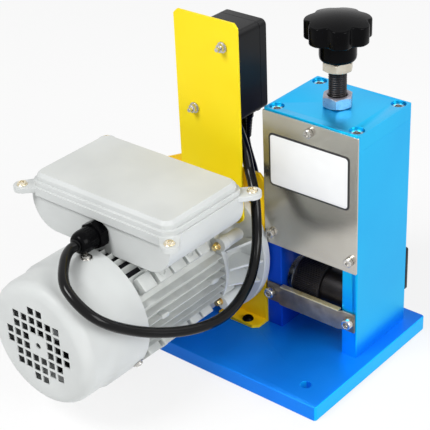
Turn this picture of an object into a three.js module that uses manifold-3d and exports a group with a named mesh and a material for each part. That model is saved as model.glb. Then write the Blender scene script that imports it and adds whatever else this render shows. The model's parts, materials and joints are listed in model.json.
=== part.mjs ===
import * as THREE from 'three';
import { mergeVertices } from 'three/addons/utils/BufferGeometryUtils.js';
import Module from 'manifold-3d';

// Electric wire stripping machine: a blue base plate carries a slotted tower with the feed wheel and
// the height-adjustable cutting disc, and a flange motor that turns the feed shaft through a worm gear.
// Millimetres, +Z up, +X along the front edge to the right, +Y to the back where the wire goes in.
// The origin is the centre of the base plate's underside.

const wasm = await Module();
wasm.setup();

// Clearances
const fitGap = 0.3; // between a piece and the seat, bore or face that holds it
const slideGap = 0.4; // between a moving piece and its guide

// Base plate
const baseWidth = 250;
const baseDepth = 173;
const baseThick = 15;
const baseCorner = 3;
const baseEdge = 0.8;
const benchHoleRadius = 5;
const benchHoleInsetX = 26;
const benchHoleInsetFront = 22;
const benchHoleInsetBack = 7.8;

// Tower of two side plates and a top plate
const towerWidth = 98;
const towerDepth = 78;
const towerWall = 16;
const towerHeight = 205;
const capThick = 15;
const towerEdge = 0.8;
const towerRightInset = 13;
const towerFrontInset = 79.5;
const capScrewInset = 8;
const capScrewHeadRadius = 6.4;
const capScrewHeadHeight = 6.5;
const capScrewShankRadius = 4;
const capScrewGrip = 16;
const capScrewSink = 9;

// Front guard sheet
const guardThick = 1.5;
const guardBottom = 88;
const guardTop = 218.5;
const guardScrewInset = 7;
const guardScrewLift = 11.4;
const guardTopScrewDrop = 8.5;
const guardScrewHeadRadius = 4.2;
const guardScrewHeadHeight = 4;
const guardScrewShankRadius = 2;
const guardScrewGrip = 8;

// Exit rest below the opening
const restThick = 2;
const restBottom = 27;
const restTop = 47;
const restInset = 1.6;
const restTab = 15;
const restStep = 3.5;
const restLip = 7.6;
const restScrewInset = 6.5;
const restScrewHeadRadius = 5;
const restScrewHeadHeight = 5.6;
const restScrewShankRadius = 3;
const restScrewGrip = 10;

// Wire inlet at the back
const inletThick = 3;
const inletBottom = 31;
const inletTop = 75;
const inletNotchRadius = 12;
const inletNotchBelowWheel = 4;
const inletScrewInset = 7;
const inletScrewDrop = 8;
const inletScrewHeadRadius = 4.2;
const inletScrewHeadHeight = 5;
const inletScrewShankRadius = 2.5;
const inletScrewGrip = 9;

// Feed shaft and wheel
const feedFromFront = 25.5;
const feedShaftRadius = 7.5;
const feedWheelRadius = 21;
const feedWheelWidth = 17;
const feedKnurls = 24;
const feedKnurlDepth = 0.9;
const feedGrooveDepth = 3;
const feedGrooveHalf = 3.4;
const feedHubRadius = 11;
const feedCollarRadius = 12.6;
const feedCollarWidth = 2;
const bearingRadius = 16;
const bearingWidth = 9;

// Cutting disc and its carriage
const bladeRadius = 22;
const bladeThick = 2.4;
const bladeHubRadius = 9;
const bladeHubWidth = 7;
const bladeRestGap = 6;
const axleRadius = 5;
const cheekThick = 12;
const cheekFront = 13;
const cheekBack = 16;
const carriageHeight = 36;
const carriageBack = 30;
const carriageAboveAxle = 16;
const keyDepth = 4;
const keyWidth = 19;
const grooveBottom = 96;
const bladeSlotHalf = 4.6;

// Adjusting screw, nuts and star knob
const screwRadius = 8;
const screwNeckRadius = 5.5;
const screwFootRadius = 8.6;
const screwFootHeight = 4.4;
const screwNeckHeight = 5;
const hexAcrossFlats = 24;
const lockNutHeight = 10;
const knobNutHeight = 9;
const knobNutAboveCap = 32.9;
const knobRadius = 28.6;
const knobHubRadius = 16;
const knobHubHeight = 18;
const knobLobeHeight = 16;
const knobDome = 5;
const knobDomeRadius = 23;
const knobLobes = 7;
const knobLobeDepth = 4.2;

// Motor
const motorFromTower = 65.4;
const motorAxisHeight = 72;
const bracketThick = 3;
const bracketAhead = 2.1;
const bracketHalf = 64.8;
const bracketHeight = 154.5;
const bracketCorner = 5;
const bracketSlopeStart = 14.6;
const bracketSlopeDrop = 23.5;
const bracketBore = 15;
const footLength = 16;
const footInner = 20.5;
const footScrewX = 50.5;
const footScrewY = 9.7;
const footScrewHeadRadius = 5.3;
const footScrewHeadHeight = 3.4;
const footScrewShankRadius = 3;
const footScrewGrip = 10;
const flangeRadius = 71;
const flangeThick = 8;
const flangeBoltCircle = 57.5;
const flangeBoltRadius = 4;
const flangeBoltFlats = 13;
const flangeBoltHead = 5.3;
const shieldLength = 46;
const bellRadius = 46;
const shellRadius = 51;
const finRadius = 57.5;
const finPitch = 8.2;
const finThick = 2.4;
const finPairs = 4;
const padWidth = 24;
const seatHalfWidth = 34;
const seatHalfLength = 35;
const frameLength = 106;
const rearShieldDepth = 14;
const coreFromFrame = 14;
const coreLength = 70;
const statorOuter = 45.7;
const statorInner = 31.6;
const rotorRadius = 31;
const rotorShaftRadius = 10;
const motorShaftRadius = 7.5;
const fanSeatRadius = 5.5;
const cowlRadius = 59.4;
const cowlStepRadius = 57.4;
const cowlWall = 1.2;
const cowlStart = 149.5;
const cowlEnd = 220.5;
const cowlStepFromEnd = 36;
const cowlShoulder = 10.4;
const ventSize = 6;
const ventPitch = 8.8;
const fanRadius = 50;
const fanHubRadius = 13;
const fanBlades = 7;
const fanBladeThick = 2;
const fanDepth = 26;

// Terminal box on the motor
const boxHalfWidth = 79;
const boxBottom = 52;
const boxTop = 83;
const boxCorner = 26;
const boxCentre = 92.3;
const boxLength = 95;
const boxWall = 3;
const lidOverhang = 3;
const lidCorner = 12;
const lidRim = 8;
const lidStep = 1.8;
const lidStepHeight = 4.5;
const lidTopInset = 4.2;
const lidTopRise = 11.5;
const lidTopBevel = 3;
const lidEarThick = 5;
const lidEarRadius = 8;
const lidScrewAcross = 2.4;
const lidScrewAlong = 2.3;
const glandHeight = 70.5;
const glandFlats = 22.6;
const glandHexHeight = 9;
const glandDomeRadius = 10;
const glandMouthRadius = 6.5;
const glandDomeLength = 17.7;
const glandStubRadius = 8;

// Worm gear box behind the bracket
const wormCentre = 25;
const gearModule = 1.25;
const gearTeeth = 30;
const gearBacklash = 1.1;
const gearWidth = 14;
const wormTurns = 4;
const wormSteps = 10;
const gearCaseRadius = 24.3;
const gearCaseHalf = 24;
const gearCaseWall = 3.3;
const gearCoverThick = 3;
const gearCoverHollow = 2.5;
const gearBarrelRadius = 17;
const gearBarrelEnd = 58;
const gearFlangeSize = 98;
const gearFlangeThick = 8;

// Switch panel and switch box
const panelThick = 2.5;
const panelRight = 49.4;
const panelLeft = -19.9;
const panelAboveBracket = 140.5;
const panelArch = 63;
const panelShoulder = 72;
const panelCorner = 4;
const panelArmRadius = 9;
const switchWidth = 46.6;
const switchHeight = 83;
const switchBaseDepth = 39.7;
const switchCoverDepth = 8.9;
const switchWall = 2.5;
const switchCorner = 5;
const switchX = 16.5;
const switchBelowTop = 55.8;
const switchBoltX = 17;
const switchBoltZ = 32.3;
const switchBoltRadius = 2;
const buttonRadius = 9;
const buttonPitch = 38;
const buttonTravel = 3;
const startProud = 3;
const stopProud = 6;

// Leads
const leadRadius = 4.5;
const mainsRadius = 3.5;
const leadSides = 8;
const mainsReliefLength = 23;

// Places worked out from the sizes
const towerX = baseWidth / 2 - towerRightInset - towerWidth / 2;
const towerY = -baseDepth / 2 + towerFrontInset + towerDepth / 2;
const innerHalf = towerWidth / 2 - towerWall;
const feedY = -towerDepth / 2 + feedFromFront;
const feedZ = motorAxisHeight - wormCentre;
const wheelTop = feedZ + feedWheelRadius;
const bladeZ = wheelTop + bladeRestGap + bladeRadius;
const capTop = towerHeight + capThick;
const motorX = towerX - towerWidth / 2 - motorFromTower;
const bracketFace = towerY - towerDepth / 2 - bracketAhead;
const flangeBack = bracketFace - fitGap;
const feedBehind = towerY + feedY - flangeBack;
const carriageBottom = bladeZ + carriageAboveAxle;
const carriageTop = carriageBottom + carriageHeight;
const boltOffset = flangeBoltCircle * Math.SQRT1_2;
const frameStart = shieldLength + fitGap;
const frameEnd = frameStart + frameLength;
const coreStart = frameStart + coreFromFrame;
const coreEnd = coreStart + coreLength;
const bracketTop = baseThick + bracketHeight;
const panelTop = bracketTop + panelAboveBracket - baseThick - motorAxisHeight;
const switchZ = panelTop - switchBelowTop;
const restHalf = towerWidth / 2 - restInset;
const lidWidth = 2 * (boxHalfWidth + lidOverhang);
const lidLength = boxLength + 2 * lidOverhang;
const lidScrewX = lidWidth / 2 + lidScrewAcross;
const lidScrewY = lidLength / 2 + lidScrewAlong;
const panelFace = flangeThick + fitGap + panelThick;
const switchBack = flangeBack - flangeThick - fitGap;

// Sides of round shapes
const fine = 36;
const medium = 24;
const small = 12;

// Finishes
const finish = (color, roughness, metalness) => new THREE.MeshStandardMaterial({ color, roughness, metalness });
const blueAnodised = finish(0x12a5e6, 0.35, 0.6);
const yellowPaint = finish(0xf7dc2a, 0.4, 0);
const greyCasting = finish(0xd5d7d3, 0.5, 0.1);
const stainless = finish(0xb9b6ae, 0.35, 0.9);
const zincPlate = finish(0xc9bd8c, 0.35, 0.8);
const steel = finish(0x9da1a4, 0.3, 0.9);
const darkSteel = finish(0x3a3b3d, 0.45, 0.7);
const blackPlastic = finish(0x222224, 0.45, 0);
const blackRubber = finish(0x18181a, 0.6, 0);
const bronze = finish(0xb08a4a, 0.4, 0.8);
const greenPlastic = finish(0x1f9a4a, 0.4, 0);
const redPlastic = finish(0xc8232a, 0.4, 0);
const laminations = finish(0x70757a, 0.5, 0.7);

// Solid modelling
function asSolid(shape) {
  if (!shape.isBufferGeometry) return shape;
  const bare = shape.clone();
  bare.deleteAttribute('normal');
  bare.deleteAttribute('uv');
  const merged = mergeVertices(bare, 1e-4);
  const corners = merged.index.array;
  const kept = [];
  for (let i = 0; i < corners.length; i += 3) {
    const [a, b, c] = [corners[i], corners[i + 1], corners[i + 2]];
    if (a !== b && b !== c && c !== a) kept.push(a, b, c);
  }
  const vertProperties = new Float32Array(merged.attributes.position.array);
  return new wasm.Manifold(new wasm.Mesh({ numProp: 3, vertProperties, triVerts: new Uint32Array(kept) }));
}

function join(first, ...others) {
  return others.reduce((whole, next) => whole.add(asSolid(next)), asSolid(first));
}

function cut(body, ...tools) {
  return tools.reduce((whole, next) => whole.subtract(asSolid(next)), asSolid(body));
}

function add(group, name, shape, material) {
  const mesh = asSolid(shape).getMesh();
  const geometry = new THREE.BufferGeometry();
  geometry.setAttribute('position', new THREE.BufferAttribute(new Float32Array(mesh.vertProperties), 3));
  geometry.setIndex(Array.from(mesh.triVerts));
  geometry.computeVertexNormals();
  const part = new THREE.Mesh(geometry, material);
  part.name = name;
  group.add(part);
  return part;
}

// Shapes along +Z, turned to another axis where needed
function block(x0, x1, y0, y1, z0, z1) {
  return new THREE.BoxGeometry(x1 - x0, y1 - y0, z1 - z0).translate((x0 + x1) / 2, (y0 + y1) / 2, (z0 + z1) / 2);
}

function rod(radius, from, to, sides = medium) {
  return new THREE.CylinderGeometry(radius, radius, to - from, sides)
    .rotateX(Math.PI / 2)
    .translate(0, 0, (from + to) / 2);
}

function turned(profile, sides = medium) {
  return new THREE.LatheGeometry(profile.map(([r, z]) => new THREE.Vector2(r, z)), sides).rotateX(Math.PI / 2);
}

function alongX(geometry) {
  return geometry.rotateY(Math.PI / 2);
}

function alongY(geometry) {
  return geometry.rotateX(-Math.PI / 2);
}

function ring(outer, inner, from, to, sides = medium) {
  return cut(rod(outer, from, to, sides), rod(inner, from - 1, to + 1, sides));
}

function roundedRect(width, height, radius, x = 0, y = 0) {
  const [a, b] = [width / 2 - radius, height / 2 - radius];
  const shape = new THREE.Shape();
  shape.absarc(x + a, y - b, radius, -Math.PI / 2, 0);
  shape.absarc(x + a, y + b, radius, 0, Math.PI / 2);
  shape.absarc(x - a, y + b, radius, Math.PI / 2, Math.PI);
  shape.absarc(x - a, y - b, radius, Math.PI, 1.5 * Math.PI);
  shape.closePath();
  return shape;
}

function chamferedRect(width, height, edge) {
  const [a, b] = [width / 2, height / 2];
  const corners = [[a - edge, -b], [a, edge - b], [a, b - edge], [a - edge, b]];
  const points = [...corners, ...corners.map(([x, y]) => [-x, -y])];
  return new THREE.Shape(points.map(([x, y]) => new THREE.Vector2(x, y)));
}

function prism(shape, height, edge = 0, curveSegments = 6) {
  const bevel = { bevelThickness: edge, bevelSize: edge, bevelOffset: -edge, bevelSegments: 1 };
  const depth = height - 2 * edge;
  return new THREE.ExtrudeGeometry(shape, { depth, bevelEnabled: edge > 0, ...bevel, curveSegments }).translate(0, 0, edge);
}

// A sheet that stands upright: its outline is drawn in x and z, and its thickness goes to the front from y = 0
function upright(shape, thick, edge = 0, curveSegments = 6) {
  return prism(shape, thick, edge, curveSegments).rotateX(Math.PI / 2);
}

function hexagon(acrossFlats, from, to) {
  return rod(acrossFlats / Math.sqrt(3), from, to, 6);
}

// Socket head screw with its head's underside at z = 0 and its shank below
function socketScrew(headRadius, headHeight, shankRadius, shankLength, sides = 16) {
  const edge = headHeight * 0.12;
  const body = turned([
    [0, -shankLength], [shankRadius, -shankLength], [shankRadius, 0], [headRadius, 0],
    [headRadius, headHeight - edge], [headRadius - edge, headHeight], [0, headHeight],
  ], sides);
  return cut(body, hexagon(headRadius * 0.95, headHeight * 0.45, headHeight + 1));
}

// Round head screw with a domed head and a cross or hexagon recess left to the finish
function domedScrew(headRadius, headHeight, shankRadius, shankLength) {
  return turned([
    [0, -shankLength], [shankRadius, -shankLength], [shankRadius, 0], [headRadius, 0],
    [headRadius, headHeight * 0.3], [headRadius * 0.8, headHeight * 0.8], [headRadius * 0.45, headHeight], [0, headHeight],
  ], small);
}

// Hexagon head bolt, head to +Z
function hexBolt(acrossFlats, headHeight, shankRadius, shankLength) {
  return join(hexagon(acrossFlats, 0, headHeight), rod(shankRadius, -shankLength, 1, small));
}

const machine = new THREE.Group();

// Base plate with four bench holes and the tapped holes of the motor bracket's feet
function basePlate() {
  const plate = prism(roundedRect(baseWidth, baseDepth, baseCorner), baseThick, baseEdge, 3);
  const benchHoles = [-1, 1].flatMap((side) => [benchHoleInsetFront - baseDepth / 2, baseDepth / 2 - benchHoleInsetBack]
    .map((y) => rod(benchHoleRadius, -1, baseThick + 1, 16).translate(side * (baseWidth / 2 - benchHoleInsetX), y, 0)));
  const footHoles = [-1, 1].map((side) => rod(footScrewShankRadius + fitGap, baseThick - footScrewGrip, baseThick + 1, small)
    .translate(motorX + side * footScrewX, bracketFace - footScrewY, 0));
  return cut(plate, ...benchHoles, ...footHoles);
}
add(machine, 'base_plate', basePlate(), blueAnodised);

// Tower frame: everything here is measured from the middle of the tower's foot
const tower = new THREE.Group();
tower.position.set(towerX, towerY, baseThick);
machine.add(tower);

const front = -towerDepth / 2;
const back = towerDepth / 2;
const capScrewX = (towerWidth - towerWall) / 2;
const capScrewY = towerDepth / 2 - capScrewInset;
const guardScrewX = towerWidth / 2 - guardScrewInset;
const guardScrewZ = guardBottom + guardScrewLift;
const guardTopScrewZ = guardTop - guardTopScrewDrop;
const restScrewX = towerWidth / 2 - restScrewInset;
const restScrewZ = (restBottom + restTop) / 2;
const inletScrewX = towerWidth / 2 - inletScrewInset;
const inletScrewZ = inletTop - inletScrewDrop;

function screwHole(radius, grip) {
  return rod(radius + fitGap, -grip, 1, 10);
}

function sidePlate(side) {
  const plate = prism(chamferedRect(towerWall, towerDepth, towerEdge), towerHeight)
    .translate(side * (towerWidth - towerWall) / 2, 0, 0);
  const seatDepth = bearingWidth + 2 * fitGap;
  const bearingSeat = alongX(rod(bearingRadius + fitGap, innerHalf - 1, innerHalf + seatDepth, fine))
    .scale(side, side, 1).translate(0, feedY, feedZ);
  const groove = block(innerHalf - 1, innerHalf + keyDepth, -keyWidth / 2 - slideGap, keyWidth / 2 + slideGap,
    grooveBottom, towerHeight + 1).rotateZ(side > 0 ? 0 : Math.PI);
  const capHoles = [-1, 1].map((sy) => screwHole(capScrewShankRadius, capScrewGrip)
    .translate(side * capScrewX, sy * capScrewY, towerHeight));
  const frontHoles = [
    alongY(screwHole(guardScrewShankRadius, guardScrewGrip)).rotateZ(Math.PI).translate(side * guardScrewX, front, guardScrewZ),
    alongY(screwHole(restScrewShankRadius, restScrewGrip)).rotateZ(Math.PI).translate(side * restScrewX, front, restScrewZ),
  ];
  const backHole = alongY(screwHole(inletScrewShankRadius, inletScrewGrip)).translate(side * inletScrewX, back, inletScrewZ);
  const shaftHole = alongX(rod(feedShaftRadius + 1, -towerWidth, 0)).translate(0, feedY, feedZ);
  const tools = [bearingSeat, groove, ...capHoles, ...frontHoles, backHole];
  return cut(plate, ...tools, ...(side < 0 ? [shaftHole] : []));
}
add(tower, 'tower_left_plate', sidePlate(-1), blueAnodised);
add(tower, 'tower_right_plate', sidePlate(1), blueAnodised);

function capPlate() {
  const plate = prism(chamferedRect(towerWidth, towerDepth, towerEdge), capThick).translate(0, 0, towerHeight);
  const screwSeats = [-1, 1].flatMap((sx) => [-1, 1].flatMap((sy) => [
    rod(capScrewShankRadius + fitGap, towerHeight - 1, capTop, 10).translate(sx * capScrewX, sy * capScrewY, 0),
    rod(capScrewHeadRadius + fitGap, capTop - capScrewSink, capTop + 1, 16).translate(sx * capScrewX, sy * capScrewY, 0),
  ]));
  const guardHole = alongY(screwHole(guardScrewShankRadius, guardScrewGrip)).rotateZ(Math.PI).translate(0, front, guardTopScrewZ);
  return cut(plate, rod(screwRadius + fitGap, towerHeight - 1, capTop + 1), guardHole, ...screwSeats);
}
add(tower, 'tower_top_plate', capPlate(), blueAnodised);

for (const [label, sx, sy] of [['front_left', -1, -1], ['front_right', 1, -1], ['rear_left', -1, 1], ['rear_right', 1, 1]]) {
  const shank = capThick - capScrewSink + capScrewGrip - fitGap;
  const screw = add(tower, `cap_screw_${label}`,
    socketScrew(capScrewHeadRadius, capScrewHeadHeight, capScrewShankRadius, shank), steel);
  screw.position.set(sx * capScrewX, sy * capScrewY, capTop - capScrewSink + fitGap);
}

// Flat guard over the cutting disc, held by three screws
function guardSheet() {
  const sheet = upright(roundedRect(towerWidth, guardTop - guardBottom, 1, 0, (guardTop + guardBottom) / 2), guardThick, 0, 2);
  const holes = [[-guardScrewX, guardScrewZ], [guardScrewX, guardScrewZ], [0, guardTopScrewZ]]
    .map(([x, z]) => alongY(rod(guardScrewShankRadius + fitGap, -1, guardThick + 1, 12)).translate(x, -guardThick, z));
  return cut(sheet, ...holes);
}
add(tower, 'front_guard', guardSheet(), stainless).position.set(0, front - fitGap, 0);

for (const [label, x, z] of [['left', -guardScrewX, guardScrewZ], ['right', guardScrewX, guardScrewZ], ['top', 0, guardTopScrewZ]]) {
  const shape = socketScrew(guardScrewHeadRadius, guardScrewHeadHeight, guardScrewShankRadius, guardScrewGrip, 12);
  const screw = add(tower, `guard_screw_${label}`, shape, steel);
  screw.rotation.x = Math.PI / 2;
  screw.position.set(x, front - 2 * fitGap - guardThick, z);
}

// Exit rest: a strip stepped forward between its two ends, with a lip folded back over the wire's way out
function exitRest() {
  const inner = restHalf - restTab;
  const outline = new THREE.Shape([
    [-restHalf, -restThick], [-inner, -restThick], [-inner + restStep, -restThick - restStep],
    [inner - restStep, -restThick - restStep], [inner, -restThick], [restHalf, -restThick],
    [restHalf, 0], [inner - restThick / 2, 0], [inner - restStep - restThick / 2, -restStep],
    [-inner + restStep + restThick / 2, -restStep], [-inner + restThick / 2, 0], [-restHalf, 0],
  ].map(([x, y]) => new THREE.Vector2(x, y)));
  const strip = prism(outline, restTop - restBottom).translate(0, 0, restBottom);
  const lipHalf = inner - restStep;
  const lip = block(-lipHalf, lipHalf, -restThick - restStep, restLip - restThick - restStep, restTop - restThick, restTop);
  const holes = [-1, 1].map((side) => alongY(rod(restScrewShankRadius + fitGap, -1, restThick + 1, 12))
    .translate(side * restScrewX, -restThick, restScrewZ));
  return cut(join(strip, lip), ...holes);
}
add(tower, 'exit_rest', exitRest(), zincPlate).position.set(0, front - fitGap, 0);

for (const [label, side] of [['left', -1], ['right', 1]]) {
  const shape = socketScrew(restScrewHeadRadius, restScrewHeadHeight, restScrewShankRadius, restScrewGrip, small);
  const screw = add(tower, `rest_screw_${label}`, shape, steel);
  screw.rotation.x = Math.PI / 2;
  screw.position.set(side * restScrewX, front - 2 * fitGap - restThick, restScrewZ);
}

// Inlet plate at the back with a round notch that leads the wire onto the wheel
function inletPlate() {
  const plate = upright(roundedRect(towerWidth, inletTop - inletBottom, 2, 0, (inletTop + inletBottom) / 2), inletThick, 0, 2);
  const notch = alongY(rod(inletNotchRadius, -1, inletThick + 1, fine))
    .translate(0, -inletThick, wheelTop - inletNotchBelowWheel + inletNotchRadius);
  const holes = [-1, 1].map((side) => alongY(rod(inletScrewShankRadius + fitGap, -1, inletThick + 1, 12))
    .translate(side * inletScrewX, -inletThick, inletScrewZ));
  return cut(plate, notch, ...holes);
}
add(tower, 'inlet_plate', inletPlate(), darkSteel).position.set(0, back + fitGap + inletThick, 0);

// Carriage that slides in the tower's grooves and carries the cutting disc between two cheeks
const footFloor = carriageTop - screwNeckHeight - screwFootHeight - 2 * fitGap;

function carriage() {
  const half = innerHalf - slideGap;
  const body = block(-half, half, front + guardThick + 1.5, carriageBack, carriageBottom, carriageTop);
  const keys = block(-half - keyDepth + slideGap, half + keyDepth - slideGap, -keyWidth / 2, keyWidth / 2, carriageBottom, carriageTop);
  const cheekOuter = bladeSlotHalf + cheekThick;
  const cheeks = block(-cheekOuter, cheekOuter, feedY - cheekFront, feedY + cheekBack, bladeZ - cheekFront, carriageBottom + 1);
  const bladeReach = bladeRadius + 2;
  const bladeSlot = block(-bladeSlotHalf, bladeSlotHalf, feedY - bladeReach, feedY + bladeReach, 0, bladeZ + bladeReach);
  const axleBore = alongX(rod(axleRadius + fitGap, -half, half, 16)).translate(0, feedY, bladeZ);
  const footSlotHalf = screwFootRadius + fitGap;
  const footSlot = block(-footSlotHalf, footSlotHalf, -footSlotHalf, carriageBack + 1,
    footFloor, footFloor + screwFootHeight + 2 * fitGap);
  const neckSlotHalf = screwNeckRadius + fitGap;
  const neckSlot = block(-neckSlotHalf, neckSlotHalf, -neckSlotHalf, carriageBack + 1, footFloor, carriageTop + 1);
  return cut(join(body, keys, cheeks), bladeSlot, axleBore, footSlot, neckSlot);
}
add(tower, 'blade_carriage', carriage(), steel);

// Pin of the cutting disc with a head on the right cheek
const cheekFace = bladeSlotHalf + cheekThick;
const axleShape = turned([
  [0, -cheekFace - 2], [axleRadius - 1, -cheekFace - 2], [axleRadius, -cheekFace - 1], [axleRadius, cheekFace + fitGap],
  [axleRadius + 2.5, cheekFace + fitGap], [axleRadius + 2.5, cheekFace + 2], [axleRadius + 1.5, cheekFace + 3], [0, cheekFace + 3],
], 16);
const axle = add(tower, 'cutter_axle', axleShape, darkSteel);
axle.rotation.y = Math.PI / 2;
axle.position.set(0, feedY, bladeZ);

const bladeBevel = 4;
const bladeShape = cut(turned([
  [0, -bladeHubWidth / 2], [bladeHubRadius, -bladeHubWidth / 2], [bladeHubRadius, -bladeThick / 2],
  [bladeRadius - bladeBevel, -bladeThick / 2], [bladeRadius, -0.15], [bladeRadius, 0.15],
  [bladeRadius - bladeBevel, bladeThick / 2], [bladeHubRadius, bladeThick / 2], [bladeHubRadius, bladeHubWidth / 2],
  [0, bladeHubWidth / 2],
], fine), rod(axleRadius + fitGap, -bladeHubWidth, bladeHubWidth, 16));
const blade = add(tower, 'cutter_blade', bladeShape, steel);
blade.rotation.y = Math.PI / 2;
blade.position.set(0, feedY, bladeZ);

// Adjusting screw: its foot turns in the carriage's slot, and the star knob is locked on with a nut
const knobNutBottom = capTop + knobNutAboveCap;
const knobBottom = knobNutBottom + knobNutHeight + fitGap;
const screwTop = knobBottom + knobHubHeight + 2;
const footBottom = footFloor + fitGap;
const neckTop = carriageTop + fitGap;
const adjusterShape = turned([
  [0, footBottom], [screwFootRadius, footBottom], [screwFootRadius, footBottom + screwFootHeight],
  [screwNeckRadius, footBottom + screwFootHeight], [screwNeckRadius, neckTop], [screwRadius, neckTop + 1],
  [screwRadius, screwTop - 1.5], [screwRadius - 1.5, screwTop], [0, screwTop],
], medium);
add(tower, 'adjusting_screw', adjusterShape, darkSteel);

function hexNut(height) {
  const edge = 1.2;
  const flat = hexAcrossFlats / 2;
  const corner = hexAcrossFlats / Math.sqrt(3);
  const chamfers = turned([
    [0, 0], [flat - 0.3, 0], [corner, edge], [corner, height - edge], [flat - 0.3, height], [0, height],
  ], 24);
  return cut(hexagonSolid(height).intersect(asSolid(chamfers)), rod(screwRadius + fitGap, -1, height + 1, medium));
}

function hexagonSolid(height) {
  return asSolid(hexagon(hexAcrossFlats, 0, height));
}
add(tower, 'lock_nut', hexNut(lockNutHeight), steel).position.set(0, 0, capTop + fitGap);
add(tower, 'knob_nut', hexNut(knobNutHeight), steel).position.set(0, 0, knobNutBottom);

function starKnob() {
  const outline = new THREE.Shape();
  const steps = 7 * knobLobes;
  for (let i = 0; i < steps; i += 1) {
    const angle = (i / steps) * 2 * Math.PI;
    const lobe = (1 + Math.cos(knobLobes * angle)) / 2;
    const radius = knobRadius - knobLobeDepth * (1 - lobe) ** 2;
    outline[i === 0 ? 'moveTo' : 'lineTo'](radius * Math.cos(angle), radius * Math.sin(angle));
  }
  outline.closePath();
  const lobes = prism(outline, knobLobeHeight, 2).translate(0, 0, knobHubHeight);
  const hub = turned([
    [0, 0], [knobHubRadius - 3, 0], [knobHubRadius, 3], [knobHubRadius, knobHubHeight + 3], [0, knobHubHeight + 3],
  ], medium);
  const top = knobHubHeight + knobLobeHeight;
  const dome = turned([
    [0, top - 3], [knobDomeRadius, top - 3], [knobDomeRadius, top - 0.5], [knobDomeRadius * 0.8, top + knobDome * 0.45],
    [knobDomeRadius * 0.45, top + knobDome * 0.85], [0, top + knobDome],
  ], medium);
  return cut(join(hub, lobes, dome), rod(screwRadius + fitGap, -1, knobHubHeight + 2 + fitGap, medium));
}
add(tower, 'star_knob', starKnob(), blackPlastic).position.set(0, 0, knobBottom);

// Feed shaft with its wheel and bearings, turning about X
const feed = new THREE.Group();
feed.position.set(0, feedY, feedZ);
tower.add(feed);

const shaftRight = innerHalf + bearingWidth + fitGap;
const gearX = motorX - towerX;
const shaftLeft = gearX - gearCaseHalf + 6;
const shaftShape = turned([
  [0, shaftLeft], [feedShaftRadius - 1, shaftLeft], [feedShaftRadius, shaftLeft + 1],
  [feedShaftRadius, shaftRight - 1], [feedShaftRadius - 1, shaftRight], [0, shaftRight],
], medium);
add(feed, 'feed_shaft', shaftShape, steel).rotation.y = Math.PI / 2;

function feedWheel() {
  const half = feedWheelWidth / 2;
  const edge = 2.5;
  const rim = turned([
    [0, -half], [feedWheelRadius - edge, -half], [feedWheelRadius, edge - half], [feedWheelRadius, -feedGrooveHalf],
    [feedWheelRadius - feedGrooveDepth, 0], [feedWheelRadius, feedGrooveHalf], [feedWheelRadius, half - edge],
    [feedWheelRadius - edge, half], [0, half],
  ], 2 * feedKnurls);
  const place = rim.attributes.position;
  for (let i = 0; i < place.count; i += 1) {
    const [x, y] = [place.getX(i), place.getY(i)];
    const radius = Math.hypot(x, y);
    const valley = Math.round(Math.atan2(y, x) * feedKnurls / Math.PI) % 2 !== 0;
    const share = valley && radius > feedWheelRadius - 0.1 ? 1 - feedKnurlDepth / radius : 1;
    place.setXY(i, x * share, y * share);
  }
  const hubEnd = innerHalf - 2.5;
  const collar = hubEnd - feedCollarWidth;
  const hubs = turned([
    [0, -hubEnd], [feedCollarRadius, -hubEnd], [feedCollarRadius, -collar], [feedHubRadius - 1.5, -collar],
    [feedHubRadius - 1.5, 2 - collar], [feedHubRadius, 2 - collar], [feedHubRadius, hubEnd], [0, hubEnd],
  ], medium);
  return cut(join(rim, hubs), rod(feedShaftRadius + fitGap, -towerWidth, towerWidth, medium));
}
add(feed, 'feed_wheel', feedWheel(), darkSteel).rotation.y = Math.PI / 2;

for (const [label, side] of [['left', -1], ['right', 1]]) {
  const near = innerHalf + fitGap;
  const [from, to] = side < 0 ? [-near - bearingWidth, -near] : [near, near + bearingWidth];
  const shape = ring(bearingRadius, feedShaftRadius + fitGap, from, to, medium);
  add(feed, `feed_bearing_${label}`, shape, steel).rotation.y = Math.PI / 2;
}

// Worm wheel: straight-flanked teeth, twisted to follow the worm's lead and thinned by half the backlash
const wormPitchRadius = wormCentre - gearModule * gearTeeth / 2;
const axialPitch = Math.PI * gearModule;
const leadSlope = axialPitch / (2 * Math.PI * wormPitchRadius);
const flankSlope = Math.tan(THREE.MathUtils.degToRad(20));
const toothHalf = axialPitch / 4 - gearBacklash / 4;

function wormWheel() {
  const pitchRadius = gearModule * gearTeeth / 2;
  const [root, tip] = [pitchRadius - 1.4 * gearModule, pitchRadius + gearModule];
  const rootAngle = (toothHalf + flankSlope * (pitchRadius - root)) / root;
  const tipAngle = (toothHalf - flankSlope * (tip - pitchRadius)) / tip;
  const outline = new THREE.Shape();
  for (let tooth = 0; tooth < gearTeeth; tooth += 1) {
    const middle = (tooth / gearTeeth) * 2 * Math.PI;
    const corners = [[root, -rootAngle], [tip, -tipAngle], [tip, tipAngle], [root, rootAngle]];
    corners.forEach(([radius, offset], corner) => {
      const [x, y] = [radius * Math.cos(middle + offset), radius * Math.sin(middle + offset)];
      outline[tooth + corner === 0 ? 'moveTo' : 'lineTo'](x, y);
    });
  }
  outline.closePath();
  const toothed = prism(outline, gearWidth).translate(0, 0, -gearWidth / 2);
  const place = toothed.attributes.position;
  for (let i = 0; i < place.count; i += 1) {
    const twist = place.getZ(i) * leadSlope / pitchRadius;
    const [x, y] = [place.getX(i), place.getY(i)];
    place.setXY(i, x * Math.cos(twist) - y * Math.sin(twist), x * Math.sin(twist) + y * Math.cos(twist));
  }
  return cut(toothed, rod(feedShaftRadius + fitGap, -gearWidth, gearWidth, medium));
}
const wheel = add(feed, 'worm_wheel', wormWheel(), bronze);
wheel.rotation.y = Math.PI / 2;
wheel.position.x = gearX;

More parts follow.
